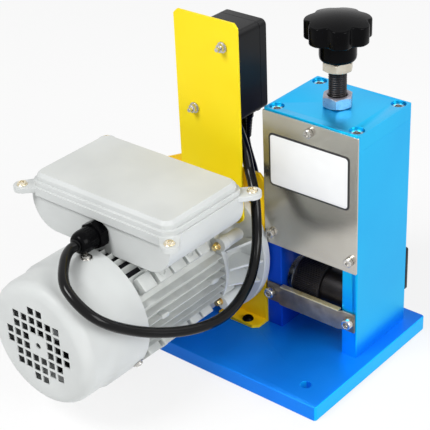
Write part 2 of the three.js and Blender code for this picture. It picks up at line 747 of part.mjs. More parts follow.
// Motor bracket: an upright plate with two feet that point to the front
const axisZ = baseThick + motorAxisHeight;
const flangeBoltSpots = [[1, 1], [-1, 1], [-1, -1], [1, -1]].map(([sx, sy]) => [sx * boltOffset, sy * boltOffset]);

function motorBracket() {
  const plate = upright(new THREE.Shape([
    [-bracketHalf, baseThick], [bracketHalf, baseThick], [bracketHalf, bracketTop - bracketCorner],
    [bracketHalf - bracketCorner, bracketTop], [-bracketSlopeStart, bracketTop], [-bracketHalf, bracketTop - bracketSlopeDrop],
  ].map(([x, z]) => new THREE.Vector2(motorX + x, z))), bracketThick).translate(0, bracketFace + bracketThick, 0);
  const feet = [-1, 1].map((side) => prism(new THREE.Shape([
    [footInner, 1], [footInner, -footLength], [bracketHalf - bracketCorner, -footLength],
    [bracketHalf, bracketCorner - footLength], [bracketHalf, 1],
  ].map(([x, y]) => new THREE.Vector2(motorX + side * x, bracketFace + y))), bracketThick).translate(0, 0, baseThick));
  const bore = alongY(rod(bracketBore, -footLength, footLength, medium)).translate(motorX, bracketFace, axisZ);
  const bolts = flangeBoltSpots.map(([x, y]) => alongY(rod(flangeBoltRadius + fitGap, -footLength, footLength, 10))
    .translate(motorX + x, bracketFace, axisZ + y));
  const footHoles = [-1, 1].map((side) => rod(footScrewShankRadius + fitGap, baseThick - 1, baseThick + bracketThick + 1, 10)
    .translate(motorX + side * footScrewX, bracketFace - footScrewY, 0));
  return cut(join(plate, ...feet), bore, ...bolts, ...footHoles);
}
add(machine, 'motor_bracket', motorBracket(), yellowPaint);

for (const [label, side] of [['left', -1], ['right', 1]]) {
  const shape = domedScrew(footScrewHeadRadius, footScrewHeadHeight, footScrewShankRadius, footScrewGrip - 1);
  add(machine, `foot_screw_${label}`, shape, darkSteel)
    .position.set(motorX + side * footScrewX, bracketFace - footScrewY, baseThick + bracketThick + fitGap);
}

// Motor: its own +Z points to the front, its +Y upwards, and z = 0 is the back of its flange
const motor = new THREE.Group();
motor.position.set(motorX, flangeBack, axisZ);
motor.rotation.x = Math.PI / 2;
machine.add(motor);

const shieldRim = finRadius - 0.5;
const flatTop = boxBottom - fitGap;

function driveShield() {
  const outer = turned([
    [0, 0], [flangeRadius - 1, 0], [flangeRadius, 1], [flangeRadius, flangeThick - 1], [flangeRadius - 1, flangeThick],
    [bellRadius, flangeThick], [shellRadius + 0.5, shieldLength - 10], [shieldRim, shieldLength - 10],
    [shieldRim, shieldLength], [0, shieldLength],
  ], fine);
  const ribs = [...Array(12).keys()].map((i) => block(bellRadius - 3, shieldRim, -1.6, 1.6, flangeThick - 1, shieldLength - 9)
    .rotateZ(i * Math.PI / 6));
  const lugs = [0, 1, 2, 3].map((i) => rod(6, shieldLength - 10, shieldLength, 10)
    .translate(finRadius + 2.5, 0, 0).rotateZ((i + 0.5) * Math.PI / 2));
  const cavity = turned([
    [0, flangeThick + 5], [bellRadius - 5, flangeThick + 5], [bellRadius, shieldLength - 12],
    [bellRadius, shieldLength + 1], [0, shieldLength + 1],
  ], medium);
  const boss = rod(16, flangeThick, flangeThick + 18, 16);
  const flat = block(-shellRadius, shellRadius, flatTop, flangeRadius + 1, shieldLength - 11, shieldLength + 1);
  const bolts = flangeBoltSpots.map(([x, y]) => rod(flangeBoltRadius + fitGap, -1, flangeThick + 1, 10).translate(x, y, 0));
  const hollow = cut(join(outer, ...ribs, ...lugs), cavity, flat);
  return cut(join(hollow, boss), rod(motorShaftRadius + fitGap, -1, shieldLength, 20), ...bolts);
}
add(motor, 'drive_shield', driveShield(), greyCasting);

// Finned frame of the motor with four flat pads and the seat of the terminal box
function motorFrame() {
  const finBlocks = [];
  for (let k = -finPairs; k < finPairs; k += 1) {
    const y = (k + 0.5) * finPitch;
    const inner = Math.sqrt((shellRadius - 2) ** 2 - y ** 2);
    const outer = Math.sqrt(finRadius ** 2 - y ** 2);
    for (const turn of [0, Math.PI, 1.5 * Math.PI]) {
      finBlocks.push(block(inner, outer, y - finThick / 2, y + finThick / 2, frameStart, frameEnd).rotateZ(turn));
    }
  }
  const pads = [0, 1, 2, 3].map((i) => block(shellRadius - 4, finRadius - 2.5, -padWidth / 2, padWidth / 2, frameStart, frameEnd)
    .rotateZ((i + 0.5) * Math.PI / 2));
  const seat = block(-seatHalfWidth, seatHalfWidth, shellRadius - 15, flatTop, boxCentre - seatHalfLength, boxCentre + seatHalfLength);
  const shell = rod(shellRadius, frameStart, frameEnd, fine);
  return cut(join(shell, ...finBlocks, ...pads, seat), rod(bellRadius, frameStart - 1, frameEnd + 1, fine));
}
add(motor, 'motor_frame', motorFrame(), greyCasting);

const rearFrom = frameEnd + fitGap;
const rearBoss = rearFrom + rearShieldDepth;

function rearShield() {
  const body = turned([
    [0, rearFrom], [shieldRim, rearFrom], [shieldRim, rearFrom + 4], [24, rearFrom + 5], [16, rearBoss], [0, rearBoss],
  ], medium);
  return cut(body, rod(motorShaftRadius + fitGap, rearFrom - 1, rearBoss + 1, 20));
}
add(motor, 'rear_shield', rearShield(), greyCasting);

add(motor, 'stator_core', ring(statorOuter, statorInner, coreStart, coreEnd, fine), laminations);
add(motor, 'rotor_core', ring(rotorRadius, rotorShaftRadius + fitGap, coreStart + 2, coreEnd - 2, medium), laminations);

// Threads of the worm as one band that climbs round its core, from sections of four corners
function wormThread(middle) {
  const [root, tip] = [wormPitchRadius - 1.35 * gearModule, wormPitchRadius + gearModule];
  const rootHalf = toothHalf + flankSlope * (wormPitchRadius - root);
  const tipHalf = toothHalf - flankSlope * (tip - wormPitchRadius);
  const corners = [[root, -rootHalf], [tip, -tipHalf], [tip, tipHalf], [root, rootHalf]];
  const steps = wormTurns * wormSteps;
  const points = [];
  const faces = [];
  for (let i = 0; i <= steps; i += 1) {
    const angle = (i / wormSteps - wormTurns / 2) * 2 * Math.PI;
    const z = middle + 0.75 * axialPitch + axialPitch * angle / (2 * Math.PI);
    for (const [radius, offset] of corners) points.push(radius * Math.cos(angle), radius * Math.sin(angle), z + offset);
  }
  for (let i = 0; i < steps; i += 1) {
    for (let k = 0; k < 4; k += 1) {
      const [a, b] = [4 * i + k, 4 * i + (k + 1) % 4];
      faces.push(a, a + 4, b, b, a + 4, b + 4);
    }
  }
  const last = 4 * steps;
  faces.push(0, 1, 2, 0, 2, 3, last, last + 2, last + 1, last, last + 3, last + 2);
  const band = new THREE.BufferGeometry();
  band.setAttribute('position', new THREE.BufferAttribute(new Float32Array(points), 3));
  band.setIndex(faces);
  return band;
}

const wormCore = wormPitchRadius - 1.2 * gearModule;
const fanFrom = rearBoss + 6;
const fanEnd = fanFrom + fanDepth;
const gearBarrelFloor = gearBarrelEnd - 5;

function rotorShaft() {
  const body = turned([
    [0, -gearBarrelFloor - 1.5], [wormCore, -gearBarrelFloor - 1.5], [wormCore, -12], [motorShaftRadius, -9],
    [motorShaftRadius, coreStart - 10], [rotorShaftRadius, coreStart - 10],
    [rotorShaftRadius, coreEnd + 10], [motorShaftRadius, coreEnd + 10],
    [motorShaftRadius, rearBoss + 1], [fanSeatRadius, rearBoss + 1], [fanSeatRadius, fanEnd + 2], [0, fanEnd + 2],
  ], 20);
  return join(body, wormThread(-feedBehind));
}
add(motor, 'rotor_shaft', rotorShaft(), steel);

function coolingFan() {
  const hub = rod(fanHubRadius, fanFrom, fanEnd, 20);
  const disc = turned([[0, fanFrom], [fanRadius - 4, fanFrom], [fanRadius - 4, fanFrom + 2], [0, fanFrom + 2]], medium);
  const blades = [...Array(fanBlades).keys()].map((i) => block(fanHubRadius - 2, fanRadius, -fanBladeThick / 2, fanBladeThick / 2,
    fanFrom, fanEnd - 4).rotateZ(i * 2 * Math.PI / fanBlades));
  return cut(join(hub, disc, ...blades), rod(fanSeatRadius + fitGap, fanFrom - 1, fanEnd + 1, 16));
}
add(motor, 'cooling_fan', coolingFan(), blackPlastic);

// Fan cowl with square vents: an eight by eight field without its corners and without the middle four
function fanCowl() {
  const step = cowlEnd - cowlStepFromEnd;
  const face = cowlStepRadius - cowlShoulder;
  const rounding = [0, 0.25, 0.5, 0.75, 1].map((share) => share * Math.PI / 2);
  const section = (wall) => [
    [cowlRadius - wall, step], [cowlStepRadius - wall, step + 4],
    ...rounding.map((angle) => [face + (cowlShoulder - wall) * Math.cos(angle), cowlEnd - cowlShoulder + (cowlShoulder - wall) * Math.sin(angle)]),
    [0, cowlEnd - wall],
  ];
  const outer = turned([[0, cowlStart], [cowlRadius, cowlStart], ...section(0)], fine);
  const inner = turned([[0, cowlStart - 1], [cowlRadius - cowlWall, cowlStart - 1], ...section(cowlWall)], fine);
  const vents = [];
  for (let column = -3.5; column <= 3.5; column += 1) {
    for (let line = -3.5; line <= 3.5; line += 1) {
      const far = Math.max(Math.abs(column), Math.abs(line));
      const near = Math.min(Math.abs(column), Math.abs(line));
      const open = (far < 3 && far + near > 1) || (far > 3 && near < 1);
      if (!open) continue;
      const [x, y] = [column * ventPitch, line * ventPitch];
      vents.push(block(x - ventSize / 2, x + ventSize / 2, y - ventSize / 2, y + ventSize / 2, cowlEnd - 3, cowlEnd + 1));
    }
  }
  return cut(outer, inner, rod(2.5, cowlEnd - 3, cowlEnd + 1, 8), ...vents);
}
add(motor, 'fan_cowl', fanCowl(), greyCasting);

// Flange bolts: the upper two also hold the switch panel
flangeBoltSpots.forEach(([x, y], i) => {
  const label = ['upper_right', 'upper_left', 'lower_left', 'lower_right'][i];
  const seat = y > 0 ? panelFace + fitGap : flangeThick + fitGap;
  const length = seat + fitGap + bracketThick + gearFlangeThick;
  const bolt = add(motor, `flange_bolt_${label}`, hexBolt(flangeBoltFlats, flangeBoltHead, flangeBoltRadius, length), zincPlate);
  bolt.position.set(x, y, seat);
});

// Switch panel on the front of the flange, arched over the motor's bell
const startFromPanel = switchX + switchBoltX;
function switchPanel() {
  const legEnd = boltOffset + panelArmRadius;
  const outline = new THREE.Shape([
    [panelRight, boltOffset], [panelRight, panelTop - panelCorner], [panelRight - panelCorner, panelTop],
    [panelLeft + panelCorner, panelTop], [panelLeft, panelTop - panelCorner], [panelLeft, panelShoulder],
    [-legEnd, boltOffset + panelArmRadius], [-legEnd, boltOffset],
  ].map(([x, y]) => new THREE.Vector2(x, y)));
  const sheet = prism(outline, panelThick);
  const ears = flangeBoltSpots.slice(0, 2).map(([x, y]) => rod(panelArmRadius, 0, panelThick, 20).translate(x, y, 0));
  const bolts = flangeBoltSpots.slice(0, 2).map(([x, y]) => rod(flangeBoltRadius + fitGap, -1, panelThick + 1, 10).translate(x, y, 0));
  const switchBolts = [1, -1].map((side) => rod(switchBoltRadius + fitGap, -1, panelThick + 1, 8)
    .translate(switchX + side * switchBoltX, switchZ + side * switchBoltZ, 0));
  return cut(join(cut(sheet, rod(panelArch, -1, panelThick + 1, fine)), ...ears), ...bolts, ...switchBolts);
}
add(motor, 'switch_panel', switchPanel(), yellowPaint).position.z = flangeThick + fitGap;

// Switch box behind the panel: world axes, y = 0 on the back face of the panel
const switchGroup = new THREE.Group();
switchGroup.position.set(motorX + switchX, switchBack, axisZ + switchZ);
machine.add(switchGroup);
const leadEntryX = 14.3;
const leadEntryY = 13.7;
const mainsEntryX = 13.9;
const mainsEntryY = 28.7;
const coverFrom = 2 * fitGap + switchBaseDepth;
const coverFace = coverFrom + switchCoverDepth;

function hollowBox(depth) {
  const outer = upright(roundedRect(switchWidth, switchHeight, switchCorner), depth, 0, 3).translate(0, depth, 0);
  const inner = upright(roundedRect(switchWidth - 2 * switchWall, switchHeight - 2 * switchWall, switchCorner - 2), depth, 0, 2);
  return [outer, inner];
}

function switchBase() {
  const [outer, inner] = hollowBox(switchBaseDepth);
  const bolts = [1, -1].map((side) => alongY(rod(switchBoltRadius + fitGap, -1, switchWall + 1, 8))
    .translate(side * switchBoltX, 0, side * switchBoltZ));
  const leadHole = rod(leadRadius + 1.5, -switchHeight / 2 - 1, 0, 16).translate(leadEntryX, leadEntryY - fitGap, 0);
  const mainsHole = rod(mainsRadius + 2.1, -switchHeight / 2 - 1, 0, 16).translate(mainsEntryX, mainsEntryY - fitGap, 0);
  return cut(outer, inner.translate(0, switchBaseDepth + switchWall, 0), leadHole, mainsHole, ...bolts);
}
add(switchGroup, 'switch_base', switchBase(), blackPlastic).position.y = fitGap;

function switchCover() {
  const [outer, inner] = hollowBox(switchCoverDepth);
  const tab = block(switchWidth / 2 - 13, switchWidth / 2 - 5, 0.5, 5, -switchHeight / 2 - 2, 1 - switchHeight / 2);
  const holes = [1, -1].map((side) => alongY(rod(buttonRadius + slideGap, 0, switchCoverDepth + 1, medium))
    .translate(0, 0, side * buttonPitch / 2));
  const hollow = cut(outer, inner.translate(0, switchCoverDepth - switchWall, 0));
  return cut(join(hollow, tab), ...holes);
}
add(switchGroup, 'switch_cover', switchCover(), blackPlastic).position.y = coverFrom;

for (const [label, side] of [['upper', 1], ['lower', -1]]) {
  const washer = rod(5, 0, 1, 16);
  const nut = hexagon(7, 0.5, 4.2);
  const stem = rod(switchBoltRadius, -panelThick - switchWall - 4 * fitGap, 8, 8);
  const headTop = -panelThick - switchWall - 3 * fitGap;
  const head = rod(3.4, headTop - 2.4, headTop, 10);
  const bolt = add(switchGroup, `switch_bolt_${label}`, join(washer, nut, stem, head), steel);
  bolt.rotation.x = Math.PI / 2;
  bolt.position.set(side * switchBoltX, -panelThick - fitGap, side * switchBoltZ);
}

// Push buttons: a collar behind the cover keeps each cap in, with room for its travel
function pushButton(proud) {
  const collarTop = coverFace - switchWall - fitGap;
  return turned([
    [0, collarTop - 8], [4, collarTop - 8], [4, collarTop - 2], [buttonRadius + 2, collarTop - 2], [buttonRadius + 2, collarTop],
    [buttonRadius, collarTop], [buttonRadius, coverFace + proud - 1], [buttonRadius - 1, coverFace + proud], [0, coverFace + proud],
  ], 20);
}
for (const [name, side, proud, colour] of [['start_button', 1, startProud, greenPlastic], ['stop_button', -1, stopProud, redPlastic]]) {
  const button = add(switchGroup, name, pushButton(proud), colour);
  button.rotation.x = -Math.PI / 2;
  button.position.z = side * buttonPitch / 2;
}

// Terminal box on top of the motor frame: world axes, z = 0 at the motor's axis
const terminal = new THREE.Group();
terminal.position.set(motorX, flangeBack - boxCentre, axisZ);
machine.add(terminal);
const boxHalfLength = boxLength / 2;

function boxSection(inset) {
  const [right, low, high] = [boxHalfWidth - inset, boxBottom + inset, boxTop];
  const radius = boxCorner - inset;
  const shape = new THREE.Shape();
  shape.moveTo(right, high);
  shape.lineTo(-right, high);
  shape.lineTo(-right, low + radius);
  shape.absarc(radius - right, low + radius, radius, Math.PI, 1.5 * Math.PI);
  shape.lineTo(right - radius, low);
  shape.absarc(right - radius, low + radius, radius, -Math.PI / 2, 0);
  shape.closePath();
  return shape;
}

const lidCorners = [[1, -1], [1, 1], [-1, 1], [-1, -1]].map(([sx, sy]) => [sx * lidScrewX, sy * lidScrewY]);

function terminalBox() {
  const outer = upright(boxSection(0), boxLength, 0, 8).translate(0, boxHalfLength, 0);
  const depth = boxLength - 2 * boxWall;
  const inner = upright(boxSection(boxWall), depth, 0, 6).translate(0, depth / 2, 0);
  const mouth = block(boxWall - boxHalfWidth, boxHalfWidth - boxWall, -depth / 2, depth / 2, boxTop - 1, boxTop + 1);
  const glandHole = alongY(rod(glandStubRadius + fitGap, -boxHalfLength - 1, boxWall + 1 - boxHalfLength, 16))
    .translate(0, 0, glandHeight);
  return cut(outer, inner, mouth, glandHole);
}
add(terminal, 'terminal_box', terminalBox(), greyCasting);

function terminalLid() {
  const rim = prism(roundedRect(lidWidth, lidLength, lidCorner), lidRim, 0, 4);
  const ears = lidCorners.map(([x, y]) => rod(lidEarRadius, lidRim - lidEarThick, lidRim, 16).translate(x, y, 0));
  const webs = lidCorners.map(([x, y]) => block(-3 * lidEarRadius, 0, -lidEarRadius, lidEarRadius, lidRim - lidEarThick, lidRim)
    .rotateZ(Math.atan2(Math.sign(y), Math.sign(x))).translate(x, y, 0));
  const step = prism(roundedRect(lidWidth - 2 * lidStep, lidLength - 2 * lidStep, lidCorner - 1), lidStepHeight, 0, 4)
    .translate(0, 0, lidRim);
  const raised = prism(roundedRect(lidWidth - 2 * lidTopInset, lidLength - 2 * lidTopInset, lidCorner - 2), lidTopRise + 1, lidTopBevel, 4)
    .translate(0, 0, lidRim - 1);
  const inside = lidTopInset + lidTopBevel + boxWall;
  const hollow = prism(roundedRect(lidWidth - 2 * inside, lidLength - 2 * inside, 3), lidRim + lidTopRise - boxWall + 1, 0, 2)
    .translate(0, 0, -1);
  return cut(join(rim, step, raised, ...ears, ...webs), hollow);
}
add(terminal, 'terminal_lid', terminalLid(), greyCasting).position.z = boxTop + fitGap;

function cableGland() {
  const nut = hexagon(glandFlats, 0, glandHexHeight).rotateZ(Math.PI / 6);
  const dome = turned([
    [0, glandHexHeight - 1], [glandDomeRadius, glandHexHeight - 1], [glandDomeRadius, glandHexHeight + 3],
    [glandDomeRadius - 1.2, glandHexHeight + 8], [glandMouthRadius, glandHexHeight + glandDomeLength],
    [0, glandHexHeight + glandDomeLength],
  ], 20);
  const stub = rod(glandStubRadius, -boxWall - 2, 1, 16);
  return cut(join(nut, dome, stub), rod(leadRadius + fitGap, -boxWall - 3, glandHexHeight + glandDomeLength + 1, 16));
}
const gland = add(terminal, 'cable_gland', cableGland(), blackPlastic);
gland.rotation.x = Math.PI / 2;
gland.position.set(0, -boxHalfLength - fitGap, glandHeight);

// Worm gear case bolted behind the bracket; the motor's own axes
const gearFront = -bracketThick - 2 * fitGap;

function gearCase() {
  const flange = prism(roundedRect(gearFlangeSize, gearFlangeSize, 10), gearFlangeThick, 0, 3)
    .translate(0, 0, gearFront - gearFlangeThick);
  const barrel = rod(gearBarrelRadius, -gearBarrelEnd, gearFront - 1, medium);
  const wheelHouse = alongX(rod(gearCaseRadius, -gearCaseHalf, gearCaseHalf, medium)).translate(0, -wormCentre, -feedBehind);
  const neck = block(-gearCaseHalf, gearCaseHalf, -wormCentre, 0, -feedBehind - 12, -feedBehind + 12);
  const wheelRoom = alongX(rod(gearCaseRadius - gearCaseWall, -gearCaseHalf - 1, gearCaseHalf - 4, medium)).translate(0, -wormCentre, -feedBehind);
  const wormRoom = rod(wormPitchRadius + gearModule + 2, -gearBarrelFloor, gearFront + 1, 16);
  const journal = rod(wormCore + fitGap, -gearBarrelFloor - 2, 1 - gearBarrelFloor, 10);
  const shaftHole = alongX(rod(feedShaftRadius + 0.5, 0, gearCaseHalf + 1, medium)).translate(0, -wormCentre, -feedBehind);
  const bolts = flangeBoltSpots.map(([x, y]) => rod(flangeBoltRadius + fitGap, gearFront - gearFlangeThick - 1, 0, 10).translate(x, y, 0));
  return cut(join(flange, barrel, wheelHouse, neck), wheelRoom, wormRoom, journal, shaftHole, ...bolts);
}
add(motor, 'gear_case', gearCase(), greyCasting);

function gearCover() {
  const spigot = gearCaseRadius - gearCaseWall - fitGap;
  const cover = turned([
    [0, -gearCoverThick], [gearCaseRadius, -gearCoverThick], [gearCaseRadius, 0], [spigot, 0], [spigot, gearCoverThick],
    [spigot - gearCoverThick, gearCoverThick], [spigot - gearCoverThick, gearCoverHollow - gearCoverThick], [0, gearCoverHollow - gearCoverThick],
  ], medium);
  const flat = gearFront - gearFlangeThick - fitGap + feedBehind;
  return cut(cover, block(-gearCaseRadius - 1, -flat, -gearCaseRadius, gearCaseRadius, -gearCoverThick - 1, 0));
}
const gearLid = add(motor, 'gear_cover', gearCover(), greyCasting);
gearLid.rotation.y = Math.PI / 2;
gearLid.position.set(-gearCaseHalf - fitGap, -wormCentre, -feedBehind);

// Leads: round tubes along smooth curves, in the machine's own frame
function tube(points, radius, steps, sides) {
  const section = new THREE.Shape([...Array(sides).keys()].map((i) => new THREE.Vector2(
    radius * Math.cos(i * 2 * Math.PI / sides), radius * Math.sin(i * 2 * Math.PI / sides))));
  const path = new THREE.CatmullRomCurve3(points.map(([x, y, z]) => new THREE.Vector3(x, y, z)), false, 'centripetal');
  return new THREE.ExtrudeGeometry(section, { steps, extrudePath: path, bevelEnabled: false });
}

// The motor's lead leaves the gland to the front, swings right and back round the motor and climbs to the switch box
const glandY = flangeBack - boxCentre - boxHalfLength;
const glandZ = axisZ + glandHeight;
const glandMouth = glandY - fitGap - glandHexHeight - glandDomeLength;
const leadInX = motorX + switchX + leadEntryX;
const leadInY = switchBack + leadEntryY;
const switchFloor = axisZ + switchZ - switchHeight / 2;
const panelEdge = motorX + panelRight;
const motorLeadPoints = [
  [motorX, glandY + 4, glandZ], [motorX, glandMouth, glandZ], [motorX + 1, glandMouth - 9, glandZ],
  [motorX + 10, glandMouth - 24, glandZ - 1], [motorX + 30, glandMouth - 43, glandZ - 8],
  [motorX + 57, glandMouth - 42, glandZ - 25], [motorX + 74, glandMouth - 11, glandZ - 49],
  [motorX + 92, glandMouth + 34, glandZ - 65], [motorX + 99, glandMouth + 70, glandZ - 67],
  [motorX + 93, glandMouth + 108, glandZ - 58], [panelEdge + 33, bracketFace - 34, bracketTop - 50],
  [panelEdge + 24, bracketFace - 22, bracketTop - 19], [panelEdge + 16, bracketFace - 14.5, bracketTop - 6],
  [panelEdge + 5, bracketFace - 6, bracketTop + 5], [panelEdge - 2.5, bracketFace - 1.5, bracketTop + 19.5],
  [leadInX + 5.5, leadInY - 1, switchFloor - 10], [leadInX + 0.4, leadInY, switchFloor - 1], [leadInX, leadInY, switchFloor + 7],
];
add(machine, 'motor_lead', tube(motorLeadPoints, leadRadius, 36, leadSides), blackRubber);

// Tapered sleeve that keeps the mains lead from kinking under the switch box
const mainsInX = motorX + switchX + mainsEntryX;
const mainsInY = switchBack + mainsEntryY;
const reliefShape = cut(turned([
  [0, -mainsReliefLength], [mainsRadius + 1.3, -mainsReliefLength], [mainsRadius + 3.2, -3], [mainsRadius + 4, -3],
  [mainsRadius + 4, -fitGap], [mainsRadius + 1.8, -fitGap], [mainsRadius + 1.8, switchWall + 2], [0, switchWall + 2],
], 14), rod(mainsRadius + 2 * fitGap, -mainsReliefLength - 1, switchWall + 3, 14));
add(machine, 'mains_relief', reliefShape, blackRubber).position.set(mainsInX, mainsInY, switchFloor);

// The mains lead drops behind the gear case to its coil on the bench
const coilTurns = 4.75;
const coilSteps = 20;
const coilRadius = 38;
const coilRise = 7.9;
const coilX = -12;
const coilY = baseDepth / 2 + 58;
const coilTop = mainsRadius + coilTurns * coilRise;
const plugLength = 44;
const plugGap = 46;
const plugHalfHeight = 8;
const mainsDrop = [
  [0, 0, -7], [0, 0, 8], [0, 0, 16], [0, 0, 23], [1.4, 0, 32], [4.1, 0.2, 41.5], [5.9, 2.2, 53], [4.4, 6.7, 64.5], [-0.5, 14, 75],
  [-8.5, 24, 87], [-17, 34.5, 99], [-25, 45.5, 113], [-29.5, 59.5, 128], [-30.5, 75.5, 143], [-29.4, 91.5, 158],
];
const coilLeft = coilX - coilRadius;
const mainsPoints = [
  ...mainsDrop.map(([across, back, down]) => [mainsInX + across, mainsInY + back, switchFloor - down]),
  [coilLeft, coilY - 27.5, coilTop + 4.4], [coilLeft, coilY - 8, coilTop + 0.6], [coilLeft, coilY - 3 * fitGap, coilTop],
];
add(machine, 'mains_lead', tube(mainsPoints, mainsRadius, 36, leadSides), blackRubber);

// One unbroken coil: each turn lies on the one below, a little in or out of line with it
function coilPoint(turn) {
  const angle = Math.PI - 2 * Math.PI * turn;
  const radius = coilRadius + 2 * Math.sin(1.3 * turn * Math.PI) * Math.min(turn, 1) * Math.min(coilTurns - turn, 1);
  return [coilX + radius * Math.cos(angle), coilY + radius * Math.sin(angle), coilTop - coilRise * turn];
}

function coilPoints() {
  const count = Math.round(coilTurns * coilSteps);
  const turns = [...Array(count + 1).keys()].map((i) => coilPoint(i / coilSteps));
  let closest = Infinity;
  for (let i = 0; i < turns.length; i += 1) {
    for (let j = i + coilSteps / 2; j < turns.length; j += 1) {
      closest = Math.min(closest, Math.hypot(...turns[i].map((value, k) => value - turns[j][k])));
    }
  }
  console.log('coil: least gap between turns', (closest - 2 * mainsRadius).toFixed(2), 'mm');
  const [endX, endY, endZ] = turns[count];
  return [...turns, [endX - 12, endY, endZ + 0.2], [endX - plugGap + 10, endY, plugHalfHeight], [endX - plugGap, endY, plugHalfHeight]];
}
add(machine, 'mains_coil', tube(coilPoints(), mainsRadius, Math.round(coilTurns * coilSteps) + 4, 6), blackRubber);

// Two-pin plug lying at the end of the coil, pins to the left
function mainsPlug() {
  const body = turned([
    [0, 0], [mainsRadius + 1.5, 0], [mainsRadius + 3.5, 16], [12.5, 24], [14, 30], [14, plugLength - 1], [13, plugLength], [0, plugLength],
  ], medium);
  const flats = [-1, 1].map((side) => block(plugHalfHeight, 20, -20, 20, -1, plugLength + 1).rotateZ(side > 0 ? 0 : Math.PI));
  const pins = [-1, 1].map((side) => turned([
    [0, plugLength - 2], [2.4, plugLength - 2], [2.4, plugLength + 17], [1.4, plugLength + 19], [0, plugLength + 19],
  ], 8).translate(0, side * 9.5, 0));
  return join(cut(body, ...flats), ...pins);
}
const plug = add(machine, 'mains_plug', mainsPlug(), blackPlastic);
plug.rotation.y = -Math.PI / 2;
plug.position.set(coilX - plugGap - 2 * fitGap, coilY - coilRadius, plugHalfHeight);

export default machine;
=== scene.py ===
import json
import math

import bmesh
import bpy
import numpy as np
from mathutils import Matrix, Vector


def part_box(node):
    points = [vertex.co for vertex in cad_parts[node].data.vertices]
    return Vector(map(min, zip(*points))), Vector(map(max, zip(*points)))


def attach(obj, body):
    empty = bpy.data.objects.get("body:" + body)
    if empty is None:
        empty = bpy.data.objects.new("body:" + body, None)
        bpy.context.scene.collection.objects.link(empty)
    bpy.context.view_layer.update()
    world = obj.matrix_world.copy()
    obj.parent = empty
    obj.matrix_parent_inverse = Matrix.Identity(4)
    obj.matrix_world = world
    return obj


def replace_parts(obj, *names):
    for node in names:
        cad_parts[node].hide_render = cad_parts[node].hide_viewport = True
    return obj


# Bench wire stripper dressed for a studio picture. Sizes below are millimetres in the CAD's own frame.
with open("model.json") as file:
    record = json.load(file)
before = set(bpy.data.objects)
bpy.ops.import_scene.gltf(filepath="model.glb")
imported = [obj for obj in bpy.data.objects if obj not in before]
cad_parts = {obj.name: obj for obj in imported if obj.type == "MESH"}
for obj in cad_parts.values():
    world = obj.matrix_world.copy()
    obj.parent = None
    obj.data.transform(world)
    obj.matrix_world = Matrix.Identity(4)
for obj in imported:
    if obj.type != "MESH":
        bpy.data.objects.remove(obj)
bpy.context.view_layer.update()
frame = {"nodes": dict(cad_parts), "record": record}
nodes = frame["nodes"]
mm = 0.001
bodyOf = {node: body for body, names in frame["record"]["behaviour"]["bodies"].items() for node in names}
print("frame loaded:", len(nodes), "nodes")

# Camera: place in millimetres, angles in degrees, focal length in pixels of the photograph's frame
photoView = {
    "place": (655.213, -815.893, 725.735),
    "azimuth": 40.92,
    "elevation": 29.96,
    "roll": -2.612,
    "focalPixels": 1342.288,
    "framePixels": 430,
    "sensorWidth": 36.0,
    "clip": (0.05, 20),
}


def makeCamera(view):
    azimuth, elevation, roll = (math.radians(view[key]) for key in ("azimuth", "elevation", "roll"))
    flat = math.cos(elevation)
    back = Vector((math.sin(azimuth) * flat, -math.cos(azimuth) * flat, math.sin(elevation)))
    level = (-back).cross(Vector((0, 0, 1))).normalized()
    upright = level.cross(-back)
    right = level * math.cos(roll) + upright * math.sin(roll)
    up = upright * math.cos(roll) - level * math.sin(roll)
    data = bpy.data.cameras.new("photoCamera")
    data.sensor_width = view["sensorWidth"]
    data.lens = view["focalPixels"] * view["sensorWidth"] / view["framePixels"]
    data.clip_start, data.clip_end = view["clip"]
    camera = bpy.data.objects.new("photoCamera", data)
    turn = Matrix((right, up, back)).transposed().to_4x4()
    camera.matrix_world = Matrix.Translation(Vector(view["place"]) * mm) @ turn
    bpy.context.scene.collection.objects.link(camera)
    bpy.context.scene.camera = camera


makeCamera(photoView)
print("camera set")


# Surfaces: a grid of points is rows of rings, row i along the shape and column j round it
def gridFaces(rows, columns):
    i, j = np.meshgrid(np.arange(rows - 1), np.arange(columns), indexing="ij")
    k = (j + 1) % columns
    here, there = i * columns, (i + 1) * columns
    return np.stack([here + j, here + k, there + k, there + j], -1).reshape(-1, 4)


def outwards(points, faces):
    # six times the enclosed volume, each face as a fan of triangles; where it is negative, faces turn round
    centred = points - points.mean(0)
    volume = 0.0
    for size in {len(face) for face in faces}:
        ring = centred[np.array([face for face in faces if len(face) == size])]
        for k in range(1, size - 1):
            volume += np.einsum("ij,ij->", ring[:, 0], np.cross(ring[:, k], ring[:, k + 1]))
    return [tuple(face)[::-1] for face in faces] if volume < 0 else faces


def meshFrom(name, points, faces, sharpAngle):
    mesh = bpy.data.meshes.new(name)
    mesh.from_pydata((points * mm).tolist(), [], [tuple(int(v) for v in face) for face in faces])
    mesh.shade_smooth()
    mesh.set_sharp_from_angle(angle=math.radians(sharpAngle))
    return mesh


def place(name, mesh, body, material):
    piece = bpy.data.objects.new(name, mesh)
    bpy.context.scene.collection.objects.link(piece)
    mesh.materials.clear()
    mesh.materials.append(material)
    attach(piece, body)
    return piece


def closed(name, parts, body, material, slot, sharpAngle=38, bored=()):
    # each part is rows of rings with a flat face at both ends; in a bored one the last ring joins the first
    points, faces, start = [], [], 0
    for rings, joined in [(rings, True) for rings in bored] + [(rings, False) for rings in parts]:
        rows, columns = rings.shape[:2]
        flat = rings.reshape(-1, 3)
        own = [tuple(face) for face in np.mod(gridFaces(rows + joined, columns), len(flat))]
        if not joined:
            own.append(tuple(range(columns - 1, -1, -1)))
            own.append(tuple(range((rows - 1) * columns, rows * columns)))
        faces += [tuple(int(v) + start for v in face) for face in outwards(flat, own)]
        points.append(flat)
        start += len(flat)
    mesh = meshFrom(name, np.concatenate(points), faces, sharpAngle)
    return place(name, mesh, body, material)


